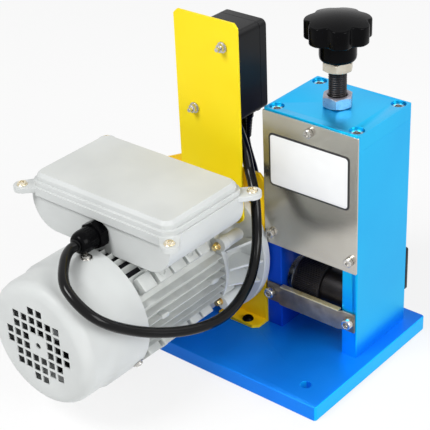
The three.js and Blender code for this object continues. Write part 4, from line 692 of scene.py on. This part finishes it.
def makeFootScrew(node, sizes):
    # a button head: a quarter of an ellipse from its edge up, with a hexagon socket in the crown's middle
    low, high = (np.array(corner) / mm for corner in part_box(node))
    turn = np.linspace(*sizes["crown"], sizes["steps"])
    rise = sizes["height"] * np.sin(turn) / math.sin(turn[-1])
    crown = turnedRings([(sizes["radius"] - 0.3, 0.02), *zip(sizes["radius"] * np.cos(turn), rise)])
    depth, top, floor = sizes["flats"] / 2 + 0.4, sizes["height"], sizes["height"] - sizes["socket"]
    levels = [(top - 0.1, depth), (top - 0.3, depth), (floor, depth), (floor - 0.1, 0.3)]
    middle = np.array([(low[0] + high[0]) / 2, (low[1] + high[1]) / 2, high[2] - top])
    name = "footScrew" + node.split("_")[-1].title()
    rings = np.concatenate([crown, hexRings(sizes["flats"], levels, 48)]) + middle
    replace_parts(closed(name, [rings], "frame", knobGloss, "dark_steel", 24), node)


for number, (sx, sy) in enumerate(cornerSigns):
    ear = (motorAxis["x"] + sx * lid["screwX"], lid["y"] + sy * lid["screwY"], lid["earTop"] + 0.02)
    crossScrew(f"lidScrew{number + 1}", "lid", ear, (0, 0, 1), 0.3 + 0.9 * number)
for number, (sx, sy) in enumerate(cornerSigns):
    makeLidWeb(f"lidEarWeb{number + 1}", sx, sy, webSizes)
for number, (degrees, along) in enumerate(cowlScrews["spots"]):
    turn = math.radians(degrees)
    outward = np.array([math.cos(turn), 0, math.sin(turn)])
    axisPoint = np.array([motorAxis["x"], motorAxis["back"] - along, motorAxis["z"]])
    crossScrew(f"cowlScrew{number + 1}", "cowl", axisPoint + outward * cowlScrews["radius"], outward, 0.4)
for number, (sx, sz) in enumerate(cornerSigns):
    corner = (cover["x"] + sx * cover["screwX"], cover["face"], cover["z"] + sz * cover["screwZ"])
    crossScrew(f"coverScrew{number + 1}", "cover", corner, (0, 1, 0), 0.5 * number)
for number, x in enumerate(inletScrews["x"]):
    socketScrew(f"inletScrew{number + 1}", (x, inletScrews["y"], inletScrews["z"]), (0, 1, 0),
                inletScrews["radius"], inletScrews["height"], blackenedSteel, "dark_steel")
for node in ("foot_screw_left", "foot_screw_right"):
    makeFootScrew(node, footScrewSizes)
print("small screws made")

# Exit rest: a folded strip on two stand-off screws
restSizes = {
    "x": (15.6, 110.4), "z": (42.0, 60.9), "plateFace": -7.1, "thick": 2.0, "forward": 2.2,
    "joggle": (28.0, 31.0), "ledge": 5.2, "corner": 0.4, "screwX": (20.5, 105.5), "screwZ": 52.0,
    "spacer": 1.6, "headRadius": 5.0, "headHeight": 4.4,
}


def makeRest(sizes):
    # the strip's section is carried along x; between its ears it steps forward by a little over its thickness
    low, high = sizes["x"]
    near, far = sizes["joggle"]
    half = [(low, 0), (low + sizes["corner"], 0), (near, 0), (far, 1)]
    stops = half + [(low + high - x, step) for x, step in half[::-1]]
    section = softBlock(sizes["thick"], sizes["z"][1] - sizes["z"][0], 1, 0.5, 0.3)[2][:, :2]
    rows = []
    for x, step in stops:
        y = sizes["plateFace"] - sizes["thick"] / 2 - sizes["forward"] * step + section[:, 0]
        rows.append(np.column_stack([np.full(len(section), x), y, section[:, 1] + sum(sizes["z"]) / 2]))
    strip = closed("exitRestStrip", [np.array(rows)], "frame", zincPlate, "zinc_plate", 40)
    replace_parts(strip, "exit_rest")
    depth, face = sizes["ledge"], sizes["plateFace"] - sizes["thick"]
    lip = softBlock(low + high - 2 * far, depth, sizes["thick"] * 0.8, 0.5, 0.35)
    middle = np.array([(low + high) / 2, face - sizes["forward"] + depth / 2, sizes["z"][1] - 0.5])
    # the lip takes the paler copy of the strip's finish: painted light on its top edge
    closed("exitRestLip", [lip + middle], "frame", zincLip, "zinc_plate", 40)
    for side, x in zip(("left", "right"), sizes["screwX"]):
        screw = socketScrew(f"restScrew{side.title()}", (x, face, sizes["screwZ"]), (0, -1, 0),
                            sizes["headRadius"], sizes["headHeight"], brightSteel, "steel", sizes["spacer"])
        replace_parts(screw, f"rest_screw_{side}")


makeRest(restSizes)

# Feed wheel: a knurled drum with a turned rim, a groove, and a plain collar towards the right bearing; each
# pair is a place along x and a radius
wheelSizes = {
    "axis": (18.5, 62.0), "knurls": 72, "depth": 0.5,
    "rim": [(38.2, 8.2), (38.2, 19.2), (38.6, 20.4), (39.4, 20.8)],
    "drum": [(39.8, 20.5), (40.4, 20.9), (66.0, 20.9), (66.6, 20.3)],
    "collar": [(67.2, 17.6), (69.6, 17.6), (70.2, 18.6), (91.6, 18.6), (92.6, 17.6), (92.6, 8.2)],
    "bore": [(92.6, 7.7), (38.2, 7.7)],
    "washerX": 37.2, "washer": [(20.2, 0), (20.8, 0.15), (20.8, 0.75), (20.2, 0.9)],
}


def makeWheel(sizes):
    # a profile turned round the shaft; on the drum the radius falls in a fine wave for the knurl
    angle = roundAngles(4 * sizes["knurls"])
    wave = sizes["depth"] * (1 - np.abs(np.cos(sizes["knurls"] / 2 * angle)))
    rings = []
    for part in ("rim", "drum", "collar", "bore"):
        for x, radius in sizes[part]:
            ring = polar(radius - wave * (part == "drum"), angle, x)
            rings.append(ring[:, [2, 0, 1]] + np.array([0, *sizes["axis"]]))
    wheel = closed("knurledFeedWheel", [], "feed_drive", blackenedSteel, "dark_steel", 30,
                   bored=[np.array(rings)])
    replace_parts(wheel, "feed_wheel")
    washer = aimed(turnedRings(sizes["washer"], 96), (sizes["washerX"], *sizes["axis"]), (1, 0, 0))
    closed("feedWheelRim", [washer], "feed_drive", groundSteel, "steel")


makeWheel(wheelSizes)
print("exit rest and feed wheel made")

# Motor housing: finned frame with foot pads, bell-shaped shield with ribs, tie bolts
motorBody = {
    "start": 46.35, "end": 152.2, "shell": 51.0, "bore": 46.3, "finRadius": 57.5, "topFinRadius": 55.2,
    "finTip": 0.55, "finRoot": 1.35, "sideFins": (18.7, 10.5, 2.3, -5.9, -14.1, -22.3),
    "topFins": (36.9, 28.7, 20.5, 12.3, 4.1, -4.1, -12.3, -20.5, -28.7, -36.9),
    "lowerFins": (20.5, 12.3, 4.1, -4.1, -12.3, -20.5),
    "padAngles": (45, 135, 225, 315), "padWidth": 29.0, "padRadius": 59.4, "padFoot": 47.0,
    "pads": [(127.5, 143.0), (108.0, 124.0), (90.0, 106.0), (74.0, 87.0), (58.4, 72.0)], "markedPads": (1, 3),
    "mark": [(4.3, -0.5), (4.3, 0.35), (4.0, 0.6), (2.5, 0.6), (2.1, 0.2), (2.1, -0.2)],
    "lugAngles": (2.6, 177.4), "lugPlaces": (61.5, 127.0), "lug": (4.6, 9.5, 6.4, 1.9, 1.2), "lugFoot": 52.0,
    "seatHalf": 33.6, "seatFrom": 57.7, "seatTo": 126.9, "tieAngles": (30, 150, 210, 330), "earRadius": 60.6,
    "tieRadius": 57.6, "clearOfBox": 0.6,
}
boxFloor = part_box("terminal_box")[0][2] / mm - motorAxis["z"]


def onAxis(flat):
    # local points are right, up and forward of the flange's back; the motor's axis lies along -y
    right, up, forward = flat[..., 0], flat[..., 1], flat[..., 2]
    return np.stack([motorAxis["x"] + right, motorAxis["back"] - forward, motorAxis["z"] + up], -1)


def away(angle, radius):
    turn = math.radians(angle)
    return np.array([math.cos(turn), math.sin(turn), 0]) * radius


def standing(rings, angle, radius, along):
    # a shape drawn with x round the motor, y along it and z away from it, set on the motor's side
    out = away(angle, 1)
    axes = np.array([[-out[1], out[0], 0], [0, 0, 1.0], out])
    return onAxis(rings @ axes + out * radius + np.array([0, 0, along]))


def finPoints(heights, reach, sizes):
    # each fin tapers from its root on the shell to a narrow tip; its six points are for a fin along +x
    root, tip, shell = sizes["finRoot"], sizes["finTip"], sizes["shell"]
    across = np.array(sorted(heights))[:, None] + np.array([-root, -tip, -tip * 0.5, tip * 0.5, tip, root])
    radius = np.array([shell, reach - 0.5, reach, reach, reach - 0.5, shell])
    return np.stack([np.sqrt(radius ** 2 - across ** 2), across], -1).reshape(-1, 2)


def turnFlat(flat, degrees):
    turn = math.radians(degrees)
    return flat @ np.array([[math.cos(turn), math.sin(turn)], [-math.sin(turn), math.cos(turn)]])


def arcPoints(start, end, radius, count=7):
    angle = np.radians(np.linspace(start, end, count))
    return np.stack([radius * np.cos(angle), radius * np.sin(angle)], -1)


def level(flat, along):
    return np.column_stack([flat, np.full(len(flat), along)])


def makeMotorFrame(sizes):
    # the outline of fins and shell runs once round the motor; the bore's points stand at the same bearings
    shell, reach = sizes["shell"], sizes["finRadius"]
    outline = np.concatenate([
        finPoints(sizes["sideFins"], reach, sizes), arcPoints(28, 40, shell),
        turnFlat(finPoints(sizes["topFins"], sizes["topFinRadius"], sizes), 90), arcPoints(140, 152, shell),
        turnFlat(finPoints([-y for y in sizes["sideFins"]], reach, sizes), 180), arcPoints(212, 238, shell),
        turnFlat(finPoints(sizes["lowerFins"], reach, sizes), 270), arcPoints(302, 328, shell)])
    bearing = np.arctan2(outline[:, 1], outline[:, 0])
    bore = sizes["bore"] * np.stack([np.cos(bearing), np.sin(bearing)], -1)
    start, end, drawnIn = sizes["start"], sizes["end"], 0.992 * outline
    levels = [(drawnIn, start), (outline, start + 0.5), (outline, end - 0.5), (drawnIn, end), (bore, end),
              (bore, start)]
    housing = onAxis(np.array([level(flat, along) for flat, along in levels]))
    parts = []
    for angle in sizes["padAngles"]:
        # an upper pad is half as wide, on the side away from the top fins
        wide = sizes["padWidth"] / 2 if angle < 180 else sizes["padWidth"]
        aside = {45: -wide / 2, 135: wide / 2}.get(angle, 0)
        for number, (near, far) in enumerate(sizes["pads"]):
            middle, shift = (near + far) / 2, np.array([aside, 0, 0])
            pad = softBlock(wide, far - near, sizes["padRadius"] - sizes["padFoot"], 1.8, 0.9) + shift
            parts.append(standing(pad, angle, sizes["padFoot"], middle))
            if number in sizes["markedPads"]:
                mark = turnedRings(sizes["mark"], 32) + shift
                parts.append(standing(mark, angle, sizes["padRadius"], middle))
    for along in sizes["lugPlaces"]:
        for angle in sizes["lugAngles"]:
            parts.append(standing(softBlock(*sizes["lug"]), angle, sizes["lugFoot"], along))
    near, far = sizes["seatFrom"], sizes["seatTo"]
    seat = blockRings(2 * sizes["seatHalf"], far - near, 3, [(0, 40), (0, boxFloor - sizes["clearOfBox"])])
    parts.append(onAxis(seat[..., [0, 2, 1]] + np.array([0, 0, (near + far) / 2])))
    piece = closed("finnedMotorFrame", parts, "frame", castEnamel, "grey_casting", 30, bored=[housing])
    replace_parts(piece, "motor_frame")


makeMotorFrame(motorBody)

valleySizes = {"from": 128.2, "to": 152.0, "start": 46.0, "end": 134.0, "lift": 0.12, "sink": 1.0}


def makeValleys(sizes):
    # a thin dark skin on the shell between the top fins, which stand through it: painted shade in the gaps
    over = arcPoints(sizes["start"], sizes["end"], motorBody["shell"] + sizes["lift"], 25)
    under = arcPoints(sizes["end"], sizes["start"], motorBody["shell"] - sizes["sink"], 25)
    rows = [level(np.concatenate([over, under]), along) for along in (sizes["from"], sizes["to"])]
    closed("motorTopValleys", [onAxis(np.array(rows))], "frame", paintedShadeCasting, "grey_casting", 40)


makeValleys(valleySizes)

# End shield: each pair is a radius and a distance forward; the outside is the flange disc, the hollow curve of
# the neck, then the bell that opens to the frame
shieldShape = {
    "columns": 144, "flatFrom": 32,
    "outside": [(70.2, 0.02), (71, 0.8), (71, 7.2), (70.2, 8), (46, 8), (43, 8.9), (41, 11), (40.2, 14.5),
                (40.4, 19), (41.6, 23.5), (44, 27.5), (47.4, 31), (51, 34.6), (54, 38), (56, 41.4),
                (57.3, 44.4), (57.3, 45.95)],
    "inside": [(45, 45.95), (45, 33), (39, 23), (37, 13), (12.6, 13), (12.6, 0.02)],
    "ribAngles": (19, 0, -19, -48, -62, -76, -90, -104, -118, -132, 199, 180, 161, 62, 118),
    "rib": [(39, 8.1), (68.8, 7.9), (68.4, 9.4), (65.6, 13.5), (62.2, 20), (58.8, 27), (56.2, 33), (54.6, 37),
            (50, 37.4), (38.6, 20)],
    "ribLayers": [(-1.1, 0.985), (-0.605, 1.0), (0.605, 1.0), (1.1, 0.985)],
    "boss": [(3.0, 19.4), (4.8, 20.2), (5.8, 22.2), (5.8, 39.2), (5.4, 39.6), (5.4, 40.1), (6.3, 40.5),
             (6.3, 46.9), (5.8, 47.4)],
    "web": (7.6, 20, 18, 0.8, 0.5), "webFoot": 40, "webPlace": 36,
}


def makeShield(sizes):
    # the bell is cut flat under the terminal box; each rib is one outline at four offsets from its own plane,
    # and each lug is a turned boss on a web
    bell = turnedRings(sizes["outside"] + sizes["inside"], sizes["columns"])
    underBox = np.minimum(bell[..., 1], boxFloor - motorBody["clearOfBox"])
    bell[..., 1] = np.where(bell[..., 2] > sizes["flatFrom"], underBox, bell[..., 1])
    outline = np.array(sizes["rib"])
    middle = outline.mean(0)
    parts = []
    for angle in sizes["ribAngles"]:
        out, aside = away(angle, 1), away(angle + 90, 1)
        rows = []
        for offset, share in sizes["ribLayers"]:
            flat = middle + (outline - middle) * share
            rows.append(flat[:, :1] * out + offset * aside + flat[:, 1:] * np.array([0, 0, 1.0]))
        parts.append(onAxis(np.array(rows)))
    for angle in motorBody["tieAngles"]:
        parts.append(onAxis(turnedRings(sizes["boss"], 40) + away(angle, motorBody["earRadius"])))
        parts.append(standing(softBlock(*sizes["web"]), angle, sizes["webFoot"], sizes["webPlace"]))
    shield = closed("ribbedDriveShield", parts, "frame", motorEnamel, "grey_casting", 34,
                    bored=[onAxis(bell)])
    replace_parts(shield, "drive_shield")


makeShield(shieldShape)

tieBoltSizes = {
    "washer": [(3.7, 47.4), (3.9, 47.6), (3.9, 48.1), (3.7, 48.3)],
    "flats": 5.5, "head": [(48.2, 3.2), (52.0, 3.2), (52.7, 2.6)],
}


def makeTieBolts(sizes):
    # gold hexagon heads on the shield's lugs, with a round washer under each
    for number, angle in enumerate(motorBody["tieAngles"]):
        shapes = turnedRings(sizes["washer"], 36), hexRings(sizes["flats"], sizes["head"], 48)
        parts = [onAxis(rings + away(angle, motorBody["tieRadius"])) for rings in shapes]
        closed(f"tieBolt{number + 1}", parts, "frame", goldSteel, "zinc_plate", 32)


makeTieBolts(tieBoltSizes)
print("motor housing made")

# CAD nodes: a merged copy of each one in sight gets real edges and takes the node's place
edges = {"lid": 1.5, "wide": 0.8, "plate": 0.55, "small": 0.3, "fine": 0.18, "asCut": 0}
dress = {
    "base_plate": (paintedShadeAndLightAnodised, "wide"), "tower_left_plate": (shadeAnodised, "wide"),
    "tower_right_plate": (blueAnodised, "wide"), "tower_top_plate": (blueAnodised, "wide"),
    "front_guard": (brushedStainless, "small"), "inlet_plate": (blackenedSteel, "small"),
    "motor_bracket": (paintedShadeYellow, "plate"), "switch_panel": (yellowPaint, "plate"),
    "switch_base": (blackMoulding, "plate"), "switch_cover": (blackMoulding, "plate"),
    "rear_shield": (motorEnamel, "plate"), "fan_cowl": (motorEnamel, "asCut"),
    "terminal_box": (motorEnamel, "plate"), "terminal_lid": (motorEnamel, "lid"),
    "gear_case": (castEnamel, "plate"), "gear_cover": (castEnamel, "small"),
    "mains_plug": (blackMoulding, "plate"), "start_button": (greenMoulding, "small"),
    "stop_button": (redMoulding, "small"), "cutter_blade": (groundSteel, "fine"),
    "cutter_axle": (blackenedSteel, "small"), "blade_carriage": (groundSteel, "small"),
    "feed_shaft": (groundSteel, "small"), "feed_bearing_left": (brightSteel, "small"),
    "feed_bearing_right": (brightSteel, "small"),
}
for node in nodes:
    if ("screw_" in node or "_bolt_" in node) and not node.startswith(("rest", "foot")):
        dress[node] = (goldSteel if node.startswith("flange") else brightSteel, "small")
inner = {
    "worm_wheel": bronzeWheel, "stator_core": coreSteel, "rotor_core": coreSteel, "rotor_shaft": groundSteel,
    "cooling_fan": blackMoulding,
}

# The cowl's vents: pitch is the CAD's own; the holes spread from the axis and widen round their cell's middle
ventSizes = {
    "pitch": 8.8, "centreHole": 2.7, "spread": 1.06, "widen": 1.18, "face": 220.5, "skin": 1.5, "wall": 1.2,
    "reach": 37.0,
}


def widenVents(work, sizes):
    # the flat end's triangles are taken out, each hole's corners move with its cell, and the end is filled
    # again round the holes
    def alongOf(vert):
        return motorAxis["back"] - vert.co.y / mm

    def inEnd(vert):
        return alongOf(vert) > sizes["face"] - sizes["skin"]

    flat = [face for face in work.faces if abs(face.normal.y) > 0.999 and all(map(inEnd, face.verts))]
    bmesh.ops.delete(work, geom=flat, context="FACES")
    for vert in work.verts:
        spot = [vert.co.x / mm - motorAxis["x"], vert.co.z / mm - motorAxis["z"]]
        if not inEnd(vert) or math.hypot(*spot) > sizes["reach"]:
            continue
        cell = [0, 0]
        if math.hypot(*spot) > sizes["centreHole"]:
            cell = [(math.floor(v / sizes["pitch"]) + 0.5) * sizes["pitch"] for v in spot]
        x, z = (sizes["spread"] * c + sizes["widen"] * (v - c) for c, v in zip(cell, spot))
        vert.co.x, vert.co.z = (motorAxis["x"] + x) * mm, (motorAxis["z"] + z) * mm
    for depth, side in ((0, -1), (sizes["wall"], 1)):
        rim = [edge for edge in work.edges if len(edge.link_faces) == 1
               and all(abs(alongOf(vert) - sizes["face"] + depth) < 0.05 for vert in edge.verts)]
        made = bmesh.ops.triangle_fill(work, use_beauty=True, use_dissolve=False, edges=rim,
                                       normal=(0, side, 0))
        for face in made["geom"]:
            if isinstance(face, bmesh.types.BMFace):
                face.normal_update()
                if face.normal.y * side < 0:
                    face.normal_flip()


def refined(node, material, edge):
    # the copy's doubles are merged, its flat faces joined and edges over 40 degrees rounded by a narrow bevel;
    # a piece left as cut only has its doubles merged
    sharp = math.radians(40)
    work = bmesh.new()
    work.from_mesh(bpy.data.objects[node].data)
    bmesh.ops.remove_doubles(work, verts=work.verts, dist=2e-6)
    if edges[edge]:
        bmesh.ops.dissolve_limit(work, angle_limit=math.radians(0.6), verts=work.verts, edges=work.edges)
    if node == "fan_cowl":
        widenVents(work, ventSizes)
    first, *others = node.split("_")
    name = first + "".join(word.title() for word in others) + "Finished"
    mesh = bpy.data.meshes.new(name)
    work.to_mesh(mesh)
    work.free()
    mesh.shade_smooth()
    mesh.set_sharp_from_angle(angle=sharp)
    piece = place(name, mesh, bodyOf[node], material)
    if edges[edge]:
        bevel = piece.modifiers.new("softEdges", "BEVEL")
        bevel.limit_method, bevel.angle_limit = "ANGLE", sharp
        bevel.width, bevel.segments = edges[edge] * mm, 2
        bevel.use_clamp_overlap, bevel.harden_normals = True, True
    if node == "fan_cowl":
        piece.modifiers.new("flatEnd", "WEIGHTED_NORMAL").keep_sharp = True
    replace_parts(piece, node)
    return piece


pieces = {node: refined(node, *how) for node, how in dress.items()}
for node, material in inner.items():
    bpy.data.objects[node].data.materials.clear()
    bpy.data.objects[node].data.materials.append(material)
print("CAD pieces finished:", len(pieces), "and", len(inner), "inside")

plateSizes = {
    "middle": (62.25, 188.75), "width": 83.5, "height": 50.5, "corner": 4.0, "edge": 0.12, "border": 1.6,
    "thick": 0.5, "sink": 0.02, "fieldThick": 0.2, "fieldSink": 0.05,
}


def makePlate(sizes):
    # a blank vinyl plate lying on the guard: white field inside a narrow dark border, both without any mark
    middle = (sizes["middle"][0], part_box("front_guard")[0][1] / mm, sizes["middle"][1])
    layers = [
        ("guardPlateBorder", 0, -sizes["sink"], sizes["thick"], blackVinyl, "black_plastic"),
        ("guardPlateField", sizes["border"], sizes["thick"] - sizes["fieldSink"], sizes["fieldThick"],
         whiteVinyl, "stainless"),
    ]
    for name, inset, foot, thick, material, slot in layers:
        width, height = sizes["width"] - 2 * inset, sizes["height"] - 2 * inset
        rings = softBlock(width, height, thick, sizes["corner"] - inset * 0.6, sizes["edge"])
        closed(name, [aimed(rings + np.array([0, 0, foot]), middle, (0, -1, 0))], "frame", material, slot)


makePlate(plateSizes)

# Studio: floor radius in metres, the fill light's strength, and how white the lens sees the floor
studio = {"floor": 12.0, "floorColour": "#F6F6F6", "ambient": 0.2, "whiteness": 0.8}
lampSet = {
    "keyLamp": {"place": (-0.5, -1.7, 2.2), "size": 1.0, "level": 0.72},
    "sideLamp": {"place": (2.2, -0.2, 1.2), "size": 1.4, "level": 0.62},
    "rearLamp": {"place": (0.6, 1.9, 1.6), "size": 1.5, "level": 0.15},
}
lampTarget = (0, 0, 0.13)


def seenDirectly(tree):
    # 1 for what the lens, glass and reflections see, 0 for the light that falls on the machine
    path = addNode(tree, "ShaderNodeLightPath").outputs
    seen = path["Is Camera Ray"]
    for other in ("Is Transmission Ray", "Is Glossy Ray"):
        seen = addNode(tree, "ShaderNodeMath", {0: seen, 1: path[other]}, operation="MAXIMUM").outputs[0]
    return seen


def makeFloor(sizes):
    # a wide disc under the machine: pale paper to the lamps, nearly white to the lens and to reflections
    mesh = bpy.data.meshes.new("studioFloor")
    mesh.from_pydata(polar(sizes["floor"], roundAngles(64), 0).tolist(), [], [tuple(range(64))])
    floor = bpy.data.objects.new("studioFloor", mesh)
    bpy.context.scene.collection.objects.link(floor)
    material = bpy.data.materials.new("paperFloor")
    tree = emptyTree(material)
    paper = addNode(tree, "ShaderNodeBsdfDiffuse", {"Color": linear(sizes["floorColour"])})
    seen = seenDirectly(tree)
    share = addNode(tree, "ShaderNodeMath", {0: seen, 1: sizes["whiteness"]}, operation="MULTIPLY")
    glow = addNode(tree, "ShaderNodeEmission", {"Color": (1, 1, 1, 1), "Strength": 1.0})
    mixed = addNode(tree, "ShaderNodeMixShader", {
        0: share.outputs[0], 1: paper.outputs["BSDF"], 2: glow.outputs["Emission"]})
    addNode(tree, "ShaderNodeOutputMaterial", {"Surface": mixed.outputs["Shader"]})
    mesh.materials.append(material)


def makeWorld(sizes):
    # white to the lens, to reflections and through glass; a soft grey fill to everything else
    world = bpy.data.worlds.new("studioWorld")
    bpy.context.scene.world = world
    tree = emptyTree(world)
    strength = addNode(tree, "ShaderNodeMapRange", {
        "Value": seenDirectly(tree), "To Min": sizes["ambient"], "To Max": 1.0})
    sky = addNode(tree, "ShaderNodeBackground", {
        "Color": (1, 1, 1, 1), "Strength": strength.outputs["Result"]})
    addNode(tree, "ShaderNodeOutputWorld", {"Surface": sky.outputs["Background"]})


def makeLamps(lamps):
    # each lamp's watts are pi squared times distance squared times the level it adds on a surface facing it
    for name, lamp in lamps.items():
        data = bpy.data.lights.new(name, "AREA")
        data.shape, data.size = "SQUARE", lamp["size"]
        spot = Vector(lamp["place"])
        back = spot - Vector(lampTarget)
        data.energy = math.pi ** 2 * back.length ** 2 * lamp["level"]
        light = bpy.data.objects.new(name, data)
        light.location = spot
        light.rotation_euler = back.to_track_quat("Z", "Y").to_euler()
        bpy.context.scene.collection.objects.link(light)


makeFloor(studio)
makeWorld(studio)
makeLamps(lampSet)
bpy.context.scene.view_settings.view_transform = "Standard"
print("studio lit")
